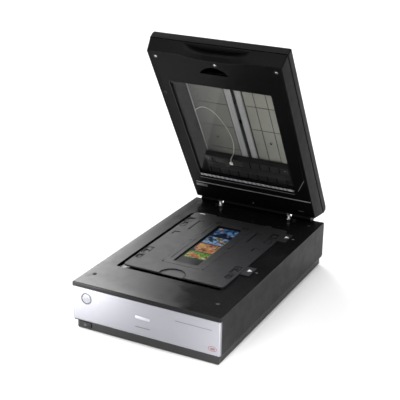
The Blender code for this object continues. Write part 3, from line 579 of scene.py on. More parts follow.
def stroke(points, width):
    """Outline of a line of a given width through points."""
    sides = ([], [])
    for i, (x, y) in enumerate(points):
        (ax, ay), (bx, by) = points[max(i - 1, 0)], points[min(i + 1, len(points) - 1)]
        length = math.hypot(bx - ax, by - ay)
        nx, ny = -(by - ay) / length * width / 2, (bx - ax) / length * width / 2
        sides[0].append((x + nx, y + ny))
        sides[1].append((x - nx, y - ny))
    return sides[0] + sides[1][::-1]


def turned(centre, profile, axis="z", sides=24, ring=False):
    place = {
        "x": lambda c, s, h: (centre[0] + h, centre[1] + c, centre[2] + s),
        "y": lambda c, s, h: (centre[0] + c, centre[1] + h, centre[2] + s),
        "z": lambda c, s, h: (centre[0] + c, centre[1] + s, centre[2] + h),
    }[axis]
    loops = [[place(c, s, h) for c, s in circle(0, 0, r, sides)] for r, h in profile]
    return loft(loops, ring)


def frame_of(outer, inner, low, high, axis="z"):
    """A frame between two outlines of equal length, from low to high along an axis."""
    place = laid_along(axis)
    loops = [(outer, low), (outer, high), (inner, high), (inner, low)]
    return loft([[place(p, h) for p in outline] for outline, h in loops], ring=True)


def tube(route, radius, sides=10, per_span=5):
    """Tube along a smooth curve through the route's points."""
    points = [Vector(p) for p in route]
    padded = [points[0] * 2 - points[1], *points, points[-1] * 2 - points[-2]]
    path = []
    for i in range(1, len(padded) - 2):
        before, here, there, after = padded[i - 1:i + 3]
        for k in range(per_span):
            t = k / per_span
            path.append(0.5 * (2 * here + (there - before) * t
                               + (2 * before - 5 * here + 4 * there - after) * t * t
                               + (3 * here - before - 3 * there + after) * t ** 3))
    path.append(points[-1])
    loops, across = [], Vector((1, 0, 0))
    for i, here in enumerate(path):
        ahead = (path[min(i + 1, len(path) - 1)] - path[max(i - 1, 0)]).normalized()
        across = (across - ahead * across.dot(ahead)).normalized()
        second = ahead.cross(across)
        loops.append([here + radius * (across * math.cos(t) + second * math.sin(t))
                      for t in (2 * math.pi * k / sides for k in range(sides))])
    return loft(loops)


# ---------------------------------------------------------------- pieces
def mesh_of(name, forms, place):
    """One mesh from closed forms, placed, with every face looking out."""
    made = bmesh.new()
    for points, faces in forms:
        verts = [made.verts.new(place @ Vector(p)) for p in points]
        for face in faces:
            made.faces.new([verts[i] for i in face])
    bmesh.ops.recalc_face_normals(made, faces=made.faces)
    mesh = bpy.data.meshes.new(name)
    made.to_mesh(mesh)
    made.free()
    return mesh


def shown(name, mesh, look, body):
    """An object for a mesh, in its material, riding on a body."""
    piece = bpy.data.objects.new(name, mesh)
    bpy.context.scene.collection.objects.link(piece)
    mesh.materials.append(MATS[look])
    if body:
        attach(piece, body)
    return piece


def add(name, forms, look, body, place=MM, bevel=0.15, smooth=True):
    """A piece made of closed forms, its edges broken by a small bevel in millimetres."""
    piece = shown(name, mesh_of(name, forms, place), look, body)
    if bevel:
        edge = piece.modifiers.new("edges", "BEVEL")
        edge.width = bevel / 1000
        edge.segments = 2
        edge.limit_method = "ANGLE"
        edge.angle_limit = math.radians(40)
    if smooth:
        piece.data.shade_smooth()
        split = piece.modifiers.new("sharp", "EDGE_SPLIT")
        split.split_angle = math.radians(35)
    return piece


def screw_mesh():
    """Countersunk cross-head screw, its head's rim at height 0 and its top just above."""
    head = turned((0, 0, 0), [(1.0, -2.2), (1.0, -1.6), (2.5, -0.3), (2.5, 0.0), (2.2, 0.35),
                              (1.4, 0.55), (0.5, 0.6)])
    body = bpy.data.objects.new("screw_blank", mesh_of("screw_blank", [head], MM))
    cross = [(0.35, 0.35), (0.35, 1.5), (-0.35, 1.5), (-0.35, 0.35), (-1.5, 0.35), (-1.5, -0.35),
             (-0.35, -0.35), (-0.35, -1.5), (0.35, -1.5), (0.35, -0.35), (1.5, -0.35), (1.5, 0.35)]
    tool = bpy.data.objects.new("screw_tool", mesh_of("screw_tool", [prism(cross, -0.7, 2.0)], MM))
    for obj in (body, tool):
        bpy.context.scene.collection.objects.link(obj)
    cut = body.modifiers.new("cross", "BOOLEAN")
    cut.object = tool
    bpy.context.view_layer.update()
    mesh = bpy.data.meshes.new_from_object(body.evaluated_get(bpy.context.evaluated_depsgraph_get()))
    for obj in (body, tool):
        bpy.data.objects.remove(obj)
    mesh.materials.clear()
    mesh.materials.append(MATS["screw"])
    return mesh


SCREW = screw_mesh()


def add_screw(name, matrix, body, turn=20.0, size=1.0):
    """A screw whose head looks along the matrix's +Z."""
    piece = bpy.data.objects.new(name, SCREW)
    bpy.context.scene.collection.objects.link(piece)
    piece.matrix_world = matrix @ Matrix.Rotation(math.radians(turn), 4, "Z") @ Matrix.Scale(size, 4)
    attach(piece, body)


def down_from(place, x, y, z, axis="-Z"):
    """Place of a screw at a point of a set of coordinates, its head looking along an axis."""
    at = place @ Vector((x, y, z))
    looks = {"-Z": (0, 0, -1), "+Z": (0, 0, 1), "+Y": (0, 1, 0), "-Y": (0, -1, 0)}[axis]
    out = ((place @ (Vector((x, y, z)) + Vector(looks))) - at).normalized()
    return Matrix.Translation(at) @ out.to_track_quat("Z", "Y").to_matrix().to_4x4()


# ---------------------------------------------------------------- base
def triangle(x, y, size, toward=-1):
    """Small alignment triangle pointing along X."""
    tip = x + toward * size * 0.5
    base = x - toward * size * 0.5
    return [(tip, y), (base, y + size * 0.62), (base, y - size * 0.62)]


def build_top_marks():
    ink = (TOP - 0.02, TOP + 0.12)
    for name, x, y in (("right_front", 130.0, -51.0), ("right_rear", 129.8, 130.8),
                       ("rear_left", -66.5, 168.4)):
        arrow = prism(triangle(x, y, 4.2), *ink)
        bar = block((x + 2.8, y - 1.2, ink[0]), (x + 4.0, y + 1.2, ink[1]))
        add(f"align_sign_{name}", [arrow, bar], "mark_grey", "base", bevel=0.0)


def build_top_pads():
    """Soft stops for the lid in the top's four dimples."""
    for name, x, y in (("front_left", -134, -203), ("front_right", 125, -203),
                       ("rear_left", -133, 219), ("rear_right", 132, 215)):
        rise = 0.9 if y < 0 else 0.0
        pad = turned((x, y, TOP + rise), [(3.6, -1.2), (3.9, -0.4), (3.2, -0.1), (1.2, 0.0)], sides=24)
        add(f"lid_stop_{name}", [pad], "rubber", "base", bevel=0.0)


def build_platen_surround():
    """White reference strip under the glass, and the scale beside it."""
    lo, hi = box_mm("platen_glass")
    under = lo.z - 0.3
    add("reference_strip", [block((lo.x + 4, hi.y - 9, under - 0.6), (hi.x - 4, hi.y - 1.5, under))],
        "white_plastic", "base")
    ticks = []
    edge = -118.6
    for i in range(30):
        y = -145 + 10 * i
        long = 3.2 if i % 5 == 0 else 1.8
        ticks.append(block((edge - long, y - 0.15, TOP - 0.02), (edge, y + 0.15, TOP + 0.05)))
    add("platen_scale", ticks, "mark_dark", "base", bevel=0.0, smooth=False)


def build_front():
    """Blank name plate and badge, plain rules, the status light and the start and power signs."""
    plate = prism(rounded(-18, 12.5, 55.6, 62.0, 1.6), FRONT - 0.45, FRONT - 0.02, "y")
    add("name_plate_blank", [plate], "name_plate", "base", bevel=0.2)
    rules = [prism(rounded(-18, 12.5, 38.6, 40.0, 0.5), FRONT - FASCIA_INK, FRONT - 0.01, "y"),
             prism(rounded(64, 137, 70.6, 71.6, 0.4), FRONT - FASCIA_INK, FRONT - 0.01, "y")]
    add("name_rules", rules, "mark_dark", "base", bevel=0.0)
    ovals = [[(139 + rx * math.cos(t), 35 + ry * math.sin(t))
              for t in (2 * math.pi * i / 40 for i in range(40))]
             for rx, ry in ((8.6, 5.0), (7.6, 4.1))]
    add("badge_ring_blank", [frame_of(*ovals, FRONT - 0.01, FRONT - FASCIA_INK, "y")], "badge_red",
        "base", bevel=0.0)
    bar = prism(rounded(135, 143.5, 32.6, 36.6, 0.8), FRONT - FASCIA_INK, FRONT - 0.01, "y")
    add("badge_bar_blank", [bar], "mark_dark", "base", bevel=0.0)
    lo, hi = box_mm("start_button")
    cx, cz, face = (lo.x + hi.x) / 2, (lo.z + hi.z) / 2, lo.y
    diamonds = [[(cx + r, cz), (cx, cz + r), (cx - r, cz), (cx, cz - r)] for r in (4.2, 3.4)]
    bar = block((cx - 0.3, face - 0.08, cz - 1.7), (cx + 0.3, face + 0.1, cz + 1.7))
    add("start_sign", [frame_of(*diamonds, face + 0.1, face - 0.08, "y"), bar], "mark_grey",
        "start_button", bevel=0.0)
    lo, hi = box_mm("power_button")
    cx, cz, face = (lo.x + hi.x) / 2, (lo.z + hi.z) / 2, lo.y
    arc = math.radians(50)
    sign = []
    for radius in (2.2, 1.6):
        sign.append([(cx + radius * math.sin(t), cz + radius * math.cos(t))
                     for t in (arc + (2 * math.pi - 2 * arc) * i / 16 for i in range(17))])
    outline = sign[0] + sign[1][::-1]
    add("power_sign", [prism(outline, face - 0.05, face + 0.2, "y"),
                       block((cx - 0.3, face - 0.05, cz + 0.4), (cx + 0.3, face + 0.2, cz + 2.6))],
        "mark_grey", "power_button", bevel=0.0)
    lens = turned((POWER_LED[0], FRONT - 0.35, POWER_LED[1]), [(1.2, 0.4), (1.2, 0.15), (0.7, 0.0)],
                  "y", 16)
    add("status_light", [lens], "opal", "base", bevel=0.0)


def build_rear():
    """Contacts in the sockets, their frames, screws, air slots and blank plates."""
    add("power_inlet_pin", [turned((-46, SOCKET_FLOOR, 45), [(0.9, 0), (0.9, 7.0), (0.4, 7.6)], "y", 16),
                            turned((-46, 240.2, 45), [(4.0, 0), (4.0, 8.4), (3.7, 8.4), (3.7, 0)],
                                   "y", 24, ring=True)], "bright", "base", bevel=0.0)
    add("data_port_square_tongue",
        [block((-24.6, SOCKET_FLOOR, 42.8), (-19.0, 247.6, 46.6))], "white_plastic", "base")
    outer = rounded(-26.1, -17.5, 41.0, 48.8, 0.8)
    inner = rounded(-25.7, -17.9, 41.4, 48.4, 0.6)
    add("data_port_square_shell", [frame_of(outer, inner, SOCKET_FLOOR, 249.0, "y")], "bright",
        "base", bevel=0.0)
    add("data_port_wide_tongue", [block((2.0, SOCKET_FLOOR, 44.1), (9.0, 247.4, 45.9))], "black", "base")
    contacts = [block((2.6 + 2.2 * i, 241, 45.9), (3.6 + 2.2 * i, 247.0, 46.1)) for i in range(3)]
    add("data_port_wide_contacts", contacts, "gold", "base", bevel=0.0)
    pins = []
    for row, z in enumerate((43.4, 46.6)):
        for i in range(12 - row):
            x = 31.2 + 2.0 * i + row
            pins.append(turned((x, SOCKET_FLOOR, z), [(0.45, 0), (0.45, 6.2), (0.2, 6.6)], "y", 8))
    add("lid_cable_port_pins", pins, "gold", "base", bevel=0.0)
    for i, (x, z) in enumerate(((-61, 34), (61, 34), (-61, 56), (61, 56))):
        add_screw(f"panel_screw_{i + 1}", down_from(MM, x, 248.6, z, "+Y"), "base", 15 + 40 * i)
    slots = [prism(rounded(-132, -88, 32 + 5.5 * i, 34.2 + 5.5 * i, 1.0), REAR - 0.3, REAR + 0.5, "y")
             for i in range(9)]
    add("rear_louvres", slots, "black", "base")
    plate = prism(rounded(-62, 40, 66, 84, 1.2), REAR - 0.02, REAR + 0.25, "y")
    add("rating_plate_rear", [plate], "label_grey", "base", bevel=0.1)
    lo, hi = box_mm("transport_lock")
    mid = (lo.x + hi.x) / 2
    outer = rounded(93.5, 124.5, 41.5, 54.5, 2.5)
    inner = rounded(95.8, 122.2, 43.8, 52.2, 1.0)
    ring = frame_of(outer, inner, REAR - 0.02, REAR + 0.5, "y")
    add("transport_lock_frame", [ring], "black", "base")
    add("transport_lock_signs", [prism(circle(mid + dx, 58.6, 1.4, 16), REAR - 0.02, REAR + 0.1, "y")
                                 for dx in (0, 12)], "mark_white", "base", bevel=0.0)


def build_underside():
    """Screws in their bosses, a blank plate and ribs under the lower casing."""
    floor = box_mm("bottom_case")[0].z
    spots = ((-125, -150), (125, -150), (-125, 160), (125, 160), (0, -225), (0, 228))
    for i, (x, y) in enumerate(spots):
        boss = turned((x, y, floor), [(5.6, 0.3), (5.6, -0.5), (5.0, -0.9), (3.2, -0.9), (3.2, 0.3)],
                      "z", 24, ring=True)
        add(f"base_screw_boss_{i + 1}", [boss], "plinth", "base")
        add_screw(f"base_screw_{i + 1}", down_from(MM, x, y, floor, "-Z"), "base", 10 + 33 * i)
    add("rating_plate_under", [prism(rounded(-55, 35, -40, 10, 2), floor - 0.25, floor + 0.02)],
        "label_grey", "base", bevel=0.1)
    ribs = []
    for i in range(7):
        y = 60 + 9 * i
        ribs.append(prism(rounded(-60, 60, y, y + 3, 1.4), floor - 0.6, floor + 0.02))
    add("underside_ribs", ribs, "plinth", "base")


# ---------------------------------------------------------------- inside the base
def build_carriage_details():
    """Clips of the carriage's lamp, its front lens and a stub of its cable."""
    outer, inner = (circle(150, 85.5, radius, 16) for radius in (2.9, 2.05))
    clips = [frame_of(outer, inner, x0, x0 + 3, "x") for x0 in (-109, 106)]
    add("carriage_lamp_clips", clips, "white_plastic", "carriage", bevel=0.0)
    lens = turned((0, 150.2, 66), [(5.4, 0), (5.0, 0.5), (3.5, 0.9), (1.5, 1.1)], "y", 24)
    add("lens_front", [lens], "glass", "carriage", bevel=0.0)
    flat = tube([(-90, 196.3, 60), (-92, 199, 55), (-94, 199.5, 48), (-95, 199, 42)], 1.2)
    add("carriage_ribbon", [flat], "cable", "carriage", bevel=0.0)


# ---------------------------------------------------------------- film holder
PICTURES = {
    "garden": ("#1f4a12", "#5d8f24", "#b7c25c", "#2f6a1c", "#7d2a1c"),
    "canyon": ("#4a2213", "#b5713a", "#d9a06a", "#8a3d28", "#e6c9b0"),
    "lake": ("#0b2450", "#24589a", "#7fb0dc", "#c9dcec", "#153868"),
    "dusk": ("#071430", "#0d2a5c", "#2a62a4", "#6fa2cf", "#101d42"),
    "poppy": ("#7c120e", "#bf2a1a", "#d9562a", "#9a1a14"),
    "rust": ("#5a1d12", "#8f3520", "#3d130c", "#a8553a"),
    "sun": ("#c79a2a", "#e6c75a", "#a87420", "#f0dc8c"),
    "cream": ("#d9b59a", "#b9866a", "#f0ddcc", "#8f5a48"),
    "leaf": ("#2f7a18", "#6fb52c", "#1f5a12", "#93c04a"),
    "olive": ("#6f6a1c", "#a8992c", "#4a4a14", "#cdbb52"),
    "navy": ("#040c20", "#0a1c46", "#061430", "#122c62"),
    "sky": ("#5a92c8", "#9cc6ea", "#3f7cb8", "#c4e0f4"),
    "clay": ("#6b321c", "#a05a30", "#4f2414", "#b87a4a"),
    "ink": ("#050506", "#101012", "#020203", "#1a1614"),
    "shade": ("#0e1a08", "#1c2f0e", "#0a1206", "#2a3a14"),
}


def hill(x0, x1, y, rise, seed, base):
    """A ridge across a picture: its crest runs along a sum of waves."""
    crest = []
    for i in range(15):
        x = x0 + (x1 - x0) * i / 14
        crest.append((x, y + rise * (math.sin(0.13 * x + seed) + 0.5 * math.sin(0.31 * x + 2 * seed))))
    return [(x1, base)] + crest[::-1] + [(x0, base)]


def flower(cx, cy, radius, petals=5, start=0.0):
    points = []
    for i in range(petals * 6):
        t = start + 2 * math.pi * i / (petals * 6)
        r = radius * (0.72 + 0.28 * math.cos(petals * (t - start)))
        points.append((cx + r * math.cos(t), cy + r * math.sin(t)))
    return points


def build_pictures():
    """Four made-up pictures on the film, each of flat coloured shapes."""
    for name, codes in PICTURES.items():
        MATS[name] = picture(f"picture_{name}", codes, 150.0 if len(codes) == 5 else 260.0)
    x0, x1 = -27.5, 24.0
    shapes = {
        "film_picture_1": ((-56.0, -20.5), "garden", [
            ("shade", hill(x0, x1, -51, 1.6, 0.9, -56)), ("leaf", hill(x0, x1, -33, 2.0, 0.4, -20.6)),
            ("sun", flower(-24, -37, 6, 5)), ("poppy", flower(-13, -38, 9, 4, 0.3)),
            ("poppy", flower(-1, -42, 7, 5, 0.8)), ("rust", flower(-8, -45, 5, 4)),
            ("cream", flower(14, -45, 4.5, 5)), ("clay", flower(19, -41, 4, 4)),
            ("sun", flower(-17, -32, 3, 5)), ("shade", flower(8, -34, 3, 3))]),
        "film_picture_2": ((-18.5, 22.5), "canyon", [
            ("navy", hill(x0, -18, -8, 3.0, 2.0, -18.5)), ("sun", flower(-16, 13, 8, 4)),
            ("cream", flower(-8, 8, 5, 5)), ("rust", flower(2, 14, 5, 4)),
            ("clay", flower(-6, -6, 7, 5)), ("cream", flower(6, 2, 4.5, 5)),
            ("poppy", flower(13, -5, 4.5, 4)), ("leaf", flower(20, 7, 4, 4)),
            ("rust", flower(16, 14, 4, 5)), ("cream", flower(13, 8, 3, 4)),
            ("shade", flower(-1, -12, 4, 3)), ("cream", flower(19, -12, 3.5, 4))]),
        "film_picture_3": ((25.0, 62.5), "lake", [
            ("sky", hill(x0, x1, 33, 2.5, 0.2, 25.0)), ("navy", flower(-13, 44, 11, 4, 0.6)),
            ("navy", flower(-19, 54, 7, 3)), ("sky", flower(-22, 40, 5, 5)),
            ("olive", flower(3, 52, 8, 4)), ("sun", flower(18, 42, 8, 4, 0.5)),
            ("clay", flower(10, 40, 6, 5)), ("rust", flower(16, 37, 5, 4)),
            ("sky", flower(4, 31, 6, 5)), ("cream", flower(9, 44, 3, 5)),
            ("olive", flower(-3, 58, 5, 5)), ("cream", flower(13, 30, 3, 4))]),
        "film_picture_4": ((65.0, 110.0), "dusk", [
            ("navy", hill(x0, x1, 82, 5.0, 1.1, 65.0)), ("cream", flower(-20, 104, 7, 4)),
            ("clay", flower(-15, 101, 4, 5)), ("sky", flower(7, 89, 9, 4)),
            ("sky", flower(17, 82, 6, 5)), ("cream", flower(-10, 88, 4, 4)),
            ("navy", flower(-1, 102, 6, 4)), ("sky", flower(18, 98, 5, 4)),
            ("sky", flower(-19, 76, 5, 5)), ("cream", flower(10, 74, 3, 4))]),
    }
    for name, ((front, rear), ground, layers) in shapes.items():
        add(name, [block((x0, front, FILM_TOP), (x1, rear, FILM_TOP + 0.03))], ground,
            "film_holder", bevel=0.0, smooth=False)
        width, depth = x1 - x0, rear - front
        blots = [("ink", flower(x0 + width * u, front + depth * v, r, 3 + number % 3, 0.7 * number))
                 for number, (u, v, r) in enumerate(((0.12, 0.35, 3.2), (0.42, 0.72, 2.4), (0.58, 0.2, 2.8),
                                                     (0.86, 0.55, 3.4), (0.7, 0.86, 2.6), (0.3, 0.12, 2.2)))]
        frame = [("ink", [(x0, rear - 1.6), (x1, rear - 1.6), (x1, rear), (x0, rear)]),
                 ("ink", [(x0, front), (x0 + 2.4, front), (x0 + 2.4, rear), (x0, rear)])]
        for number, (look, outline) in enumerate(layers + blots + frame):
            inside = [(min(max(x, x0), x1), min(max(y, front), rear)) for x, y in outline]
            level = FILM_TOP + 0.03 + 0.015 * number
            add(f"{name}_shape_{number + 1}", [prism(inside, level, level + 0.015)], look,
                "film_holder", bevel=0.0, smooth=False)


def build_holder_details():
    """Scales, arrows, edges and clips of the film holder and its cover."""
    # The black strokes below are painted shadow: flat lines where the embossed scales, slider rims and grips,
    # cover ribs, ticks and clips and the finger notch cast shade.
    low, high = HOLDER_TOP - 0.02, HOLDER_TOP + 0.12
    for name, left, front, rear, pocket in (("front_left", -106.8, -105.4, -48.0, -63.0),
                                            ("rear_left", -106.8, 76.6, 129.6, 126.0),
                                            ("front_right", 86.2, -105.4, -48.0, -63.0),
                                            ("rear_right", 86.2, 76.6, 130.4, 128.0)):
        comb = [block((left, rear - 31, low), (left + 2.0, rear, high)),
                block((left, rear - 3.0, low), (left + 15.0, rear, high)),
                block((left + 13.2, rear - 24, low), (left + 15.0, rear - 3.0, high))]
        for i in range(3):
            near = rear - 8.4 - 5.2 * i
            teeth = 1.0 if near < pocket else 2.9 if left < 0 else 8.5
            comb.append(block((left + 2.0, near, low), (left + 2.0 + teeth, near + 2.6, high)))
        add(f"height_scale_{name}", comb, "holder_shadow_lines", "film_holder", bevel=0.03)
        bow = [(left + 1.4, front + 14), (left + 1.4, front + 5), (left + 2.4, front + 1.8),
               (left + 5, front + 0.7), (left + 10, front + 0.7), (left + 12.4, front + 2.0),
               (left + 13.3, front + 5), (left + 13.3, front + 18)]
        add(f"slider_rim_{name}", [prism(stroke(bow, 1.7), low, high)], "holder_shadow_lines", "film_holder",
            bevel=0.03)
        lo, hi = box_mm(f"height_slider_{name}")
        grips = [block((lo.x + 1.2, lo.y + 2.2 + 1.7 * i, hi.z - 0.02),
                       (hi.x - 1.2, lo.y + 2.9 + 1.7 * i, hi.z + 0.02)) for i in range(5)]
        add(f"slider_grip_{name}", grips, "holder_shadow_lines", f"slider_{name}", bevel=0.0, smooth=False)
    cover_left = box_mm("film_cover")[0].x
    cover_low, cover_high = COVER_TOP - 0.02, COVER_TOP + 0.1
    lines = [block((-41.4, -75, cover_low), (-40.2, 37, cover_high)),
             block((-43.0, 59, cover_low), (-41.8, 106, cover_high))]
    add("cover_ribs", lines, "holder_shadow_lines", "film_cover", bevel=0.03)
    ticks = []
    for x, y in ((-47.6, -93.4), (38.6, -93.4), (-47.6, 20), (38.6, 19)):
        ticks.append(block((x - 1.1, y - 3.0, cover_low), (x + 1.1, y + 3.0, cover_high)))
    add("cover_ticks", ticks, "holder_shadow_lines", "film_cover", bevel=0.03)
    rim_out = rounded(-32.3, 24.3, -84.8, 117.8, 2.6)
    rim_in = rounded(-31.5, 23.5, -84.0, 117.0, 2.2)
    add("cover_window_rim", [frame_of(rim_out, rim_in, cover_low, COVER_TOP + 0.22)], "holder",
        "film_cover", bevel=0.05)
    for side, x in (("left", -43.0), ("right", 18.0)):
        clip = [frame_of(rounded(x, x + 14, 122.6, 130.4, 1.4), rounded(x + 1.2, x + 12.8, 123.9, 129.2, 0.9),
                         cover_low, COVER_TOP + 0.35)]
        add(f"cover_clip_{side}", clip, "holder_shadow_lines", "film_cover", bevel=0.05)
    knuckles = []
    for y in (-70, -10, 50, 105):
        knuckles.append(turned((cover_left - 0.9, y, HOLDER_TOP - 0.1), [(0.7, 0), (0.7, 9)], "y", 12))
    add("cover_hinge_knuckles", knuckles, "holder", "film_holder", bevel=0.0)
    notch = [(-28.6, -143.4), (-28.6, -133.6), (-20.5, -121.4), (-10.3, -115.8), (4.3, -115.8),
             (14.5, -121.4), (22.6, -133.6), (22.6, -143.4)]
    add("finger_notch_rim", [prism(stroke(notch, 1.5), low, HOLDER_TOP + 0.18)], "holder_shadow_lines",
        "film_holder", bevel=0.0)
    inner = [(x * 0.9 - 0.3, y - 2.2) for x, y in notch[1:-1]]
    add("finger_notch_step", [prism(stroke(inner, 0.9), HOLDER_TOP - 1.42, HOLDER_TOP - 1.1)],
        "holder_edge", "film_holder", bevel=0.0)
    tab_top = HOLDER_TOP - 0.6
    for name, x, y in (("right_front", 119.6, -54.3), ("right_rear", 118.6, 128.5)):
        add(f"holder_mark_{name}", [prism(triangle(x, y, 8.5, 1), tab_top - 0.02, tab_top + 0.14)],
            "mark_white", "film_holder", bevel=0.0)
    wedge = [(-97, 155.8), (-84.5, 155.8), (-84.5, 158.6), (-91, 159.7), (-96.4, 158)]
    add("holder_mark_rear_left", [prism(wedge, HOLDER_TOP - 0.02, HOLDER_TOP + 0.14)], "mark_white",
        "film_holder", bevel=0.0)
    latch = frame_of(rounded(56.4, 68.4, 153.4, 165.2, 1.0), rounded(58.4, 66.4, 155.4, 163.2, 0.6),
                     tab_top - 0.02, HOLDER_TOP + 0.3)
    add("rear_latch_rim", [latch], "holder", "film_holder", bevel=0.1)


# ---------------------------------------------------------------- lid
def build_lid_underside():
    """Screws, ridges, blank label and small marks on the lid's inner panel."""
    for i, (x, a) in enumerate(((-125, 421), (1, 417), (127, 420), (-2, 9))):
        cup = turned((x, a, PANEL), [(2.7, 0.4), (2.7, -0.1), (3.1, -0.3), (4.6, -0.35), (5.0, 0.0),
                                     (5.0, 0.4)], "z", 28, ring=True)
        add(f"lid_screw_seat_{i + 1}", [cup], "gloss_black", "lid", LID)
        add_screw(f"lid_screw_{i + 1}", down_from(LID, x, a, PANEL, "-Z"), "lid", 12 + 50 * i)
    low, high = PANEL - 0.4, PANEL + 0.05
    add("lid_ridge_inner", [prism([(-116, 68.4), (105, 68.4), (105, 69.6), (-116, 69.6)], low, high)],
        "mark_grey", "lid", LID)
    add("lid_ridge_outer", [prism([(-131, 50.0), (138, 50.0), (138, 52.0), (-131, 52.0)], low, high)],
        "ridge", "lid", LID)
    add("lid_ridge_corner", [prism(stroke([(115, 82), (133, 119)], 1.2), low, high)], "mark_grey",
        "lid", LID)
    rims = [prism(stroke([(-132.6, 112), (-132.6, 404)], 1.0), low, high),
            prism(stroke([(133.2, 119), (133.2, 404)], 1.0), low, high)]
    add("lid_ridge_sides", rims, "panel", "lid", LID)
    # A black ring set in the groove of the lid's seam: painted shadow of the seam.
    seam = []
    seam_rise, seam_length = 6.0, SEAM_FRONT - SEAM_REAR
    for up, inset in ((27.2, 2.0), (25.4, 2.0), (25.4, 3.3), (27.2, 3.3)):
        outline = rounded(-SEAM_HALF_W + inset, SEAM_HALF_W - inset, SEAM_REAR + inset,
                          SEAM_FRONT - inset, 2.0)
        seam.append([(x, a, up + seam_rise * (SEAM_FRONT - a) / seam_length) for x, a in outline])
    add("lid_seam_shadow", [loft(seam, ring=True)], "rubber", "lid", LID, bevel=0.0)
    add("lid_label_blank", [prism(rounded(-132, -105, 37, 45, 1.0), PANEL - 0.15, high)],
        "label_grey", "lid", LID, bevel=0.05)
    lines = [block((-130, 38.8 + 2.2 * i, PANEL - 0.2), (-130 + w, 39.6 + 2.2 * i, PANEL - 0.1))
             for i, w in enumerate((22, 16, 20))]
    add("lid_label_lines", lines, "mark_grey", "lid", LID, bevel=0.0)
    catch = turned((-131, 323, PANEL), [(1.8, 0.3), (1.8, -0.2), (3.2, -0.35), (3.6, 0.0), (3.6, 0.3)],
                   "z", 20, ring=True)
    add("lid_side_catch", [catch], "gloss_black", "lid", LID)
    dot = turned((61, 17, PANEL), [(1.3, 0.2), (1.3, -0.2), (0.8, -0.35)], "z", 16)
    add("lid_small_dot", [dot], "rail", "lid", LID)
    line = block((104, 14.3, PANEL - 0.2), (116, 15.4, PANEL + 0.05))
    add("lid_small_line", [line], "mark_grey", "lid", LID)
    (left, right), (rear, front) = WINDOW
    rim_out = rounded(left - 1.6, right + 1.6, rear - 8.6, front + 1.6, 4)
    rim_in = rounded(left - 0.4, right + 0.4, rear - 7.4, front + 0.4, 3)
    add("lid_window_rim", [frame_of(rim_out, rim_in, PANEL - 0.3, PANEL + 0.05)], "gloss_black",
        "lid", LID, bevel=0.08)


def build_tray_details():
    """Ribs, guide strips and cross lines on the tray's floor, seen through the lid's window."""
    floor = TRAY_FLOOR

    def strip(x0, x1, a0, a1, height):
        return block((x0, a0, floor - height), (x1, a1, floor - 0.02))

    add("tray_guides", [strip(-13.2, -7.0, *TRAY_RUN, 1.0), strip(-6.2, 0.9, *TRAY_RUN, 1.4),
                        strip(9.4, 22.6, *TRAY_RUN, 1.4)], "tray_strip", "lid", LID)
    add("tray_guide_bar", [strip(23.4, 26.0, *TRAY_RUN, 0.9), strip(-15.4, -14.0, *TRAY_RUN, 0.6)],
        "tray_dark", "lid", LID)
    add("tray_ribs_long", [strip(x, x + 0.9, *TRAY_RUN, 0.9) for x in (48.0, 75.0, 98.6)], "tray_dark",
        "lid", LID, bevel=0.1)
    wall = [(-113.6, 14.0), (-113.0, 13.4), (-98.8, 26.4), (-99.2, 27.4)]
    add("tray_side_rail", [loft([[(x, a, u) for x, u in wall] for a in TRAY_RUN])], "tray_dark", "lid",
        LID)
    # A near-black sheet laid over the tray's sloping left wall: painted shade.
    lean = [(-116.4, 7.4), (-115.9, 7.1), (-97.2, 28.1), (-97.7, 28.4)]
    add("tray_side_shade", [loft([[(x, a, u) for x, u in lean] for a in (63, 364)])], "tray_shade",
        "lid", LID, bevel=0.0)
    left = [strip(-95.4, -94.0, *TRAY_RUN, 1.2)]
    add("tray_ribs_left", left, "tray_strip", "lid", LID)
    across = [strip(-83, -16, a, a + 0.9, 0.7) for a in (147, 215, 281)]
    across += [strip(28, 89.5, a, a + 0.9, 0.7) for a in (220, 287, 345)]
    add("tray_ribs_cross", across, "tray_dark", "lid", LID, bevel=0.1)
    for i, (x, a) in enumerate(((-60, 345), (62, 340), (-60, 180), (62, 185))):
        boss = turned((x, a, floor), [(4.5, 0.0), (4.5, -0.9), (2.9, -0.9), (2.9, 0.0)], "z", 24, ring=True)
        add(f"tray_boss_{i + 1}", [boss], "tray", "lid", LID)
        add_screw(f"tray_screw_{i + 1}", down_from(LID, x, a, floor - 0.6, "-Z"), "lid", 25 * i, 0.9)


def build_lamp_unit():
    """Cover, ribs, plate, glides and connector of the lid's lamp unit."""
    (x0, x1), (a0, a1), face = LAMP_X, LAMP_A, LAMP_FACE
    mid = (a0 + a1) / 2
    add("lamp_cover", [prism(rounded(x0 + 3, x1 - 3, mid - 8.2, mid + 8.2, 1.0), face - 0.9, face - 0.1)],
        "lamp_unit", "lid_lamp", LID, bevel=0.2)
    ribs = [block((x, a0 + 1, face - 0.4), (x + 1.2, mid - 9, face + 0.05)) for x in range(-90, 98, 22)]
    ribs += [block((x, mid + 9, face - 0.4), (x + 1.2, a1 - 1, face + 0.05)) for x in range(-79, 98, 22)]
    add("lamp_unit_ribs", ribs, "gloss_black", "lid_lamp", LID, bevel=0.08)
    add("lamp_unit_plate", [prism(rounded(-70, -8, mid + 9, a1 - 2, 1.5), face - 0.8, face + 0.05)],
        "tray_dark", "lid_lamp", LID)
    add("lamp_connector", [block((-37.5, 117.5, face - 2.6), (-30.5, 124.0, face - 0.7)),
                           block((-36.3, 124.0, face - 2.1), (-31.7, 125.4, face - 1.0))],
        "white_plastic", "lid_lamp", LID, bevel=0.25)
    for i, x in enumerate((-86, 88)):
        add_screw(f"lamp_unit_screw_{i + 1}", down_from(LID, x, mid + 17, face, "-Z"), "lid_lamp", 30 * i)
    glides = [turned((x, mid + side, 26.2), [(2.2, 0), (3.6, 0), (3.6, 2.4), (2.2, 2.4)], "z", 20, ring=True)
              for x in (-88, 94) for side in (-18, 18)]
    add("lamp_unit_glides", glides, "white_plastic", "lid_lamp", LID, bevel=0.1)


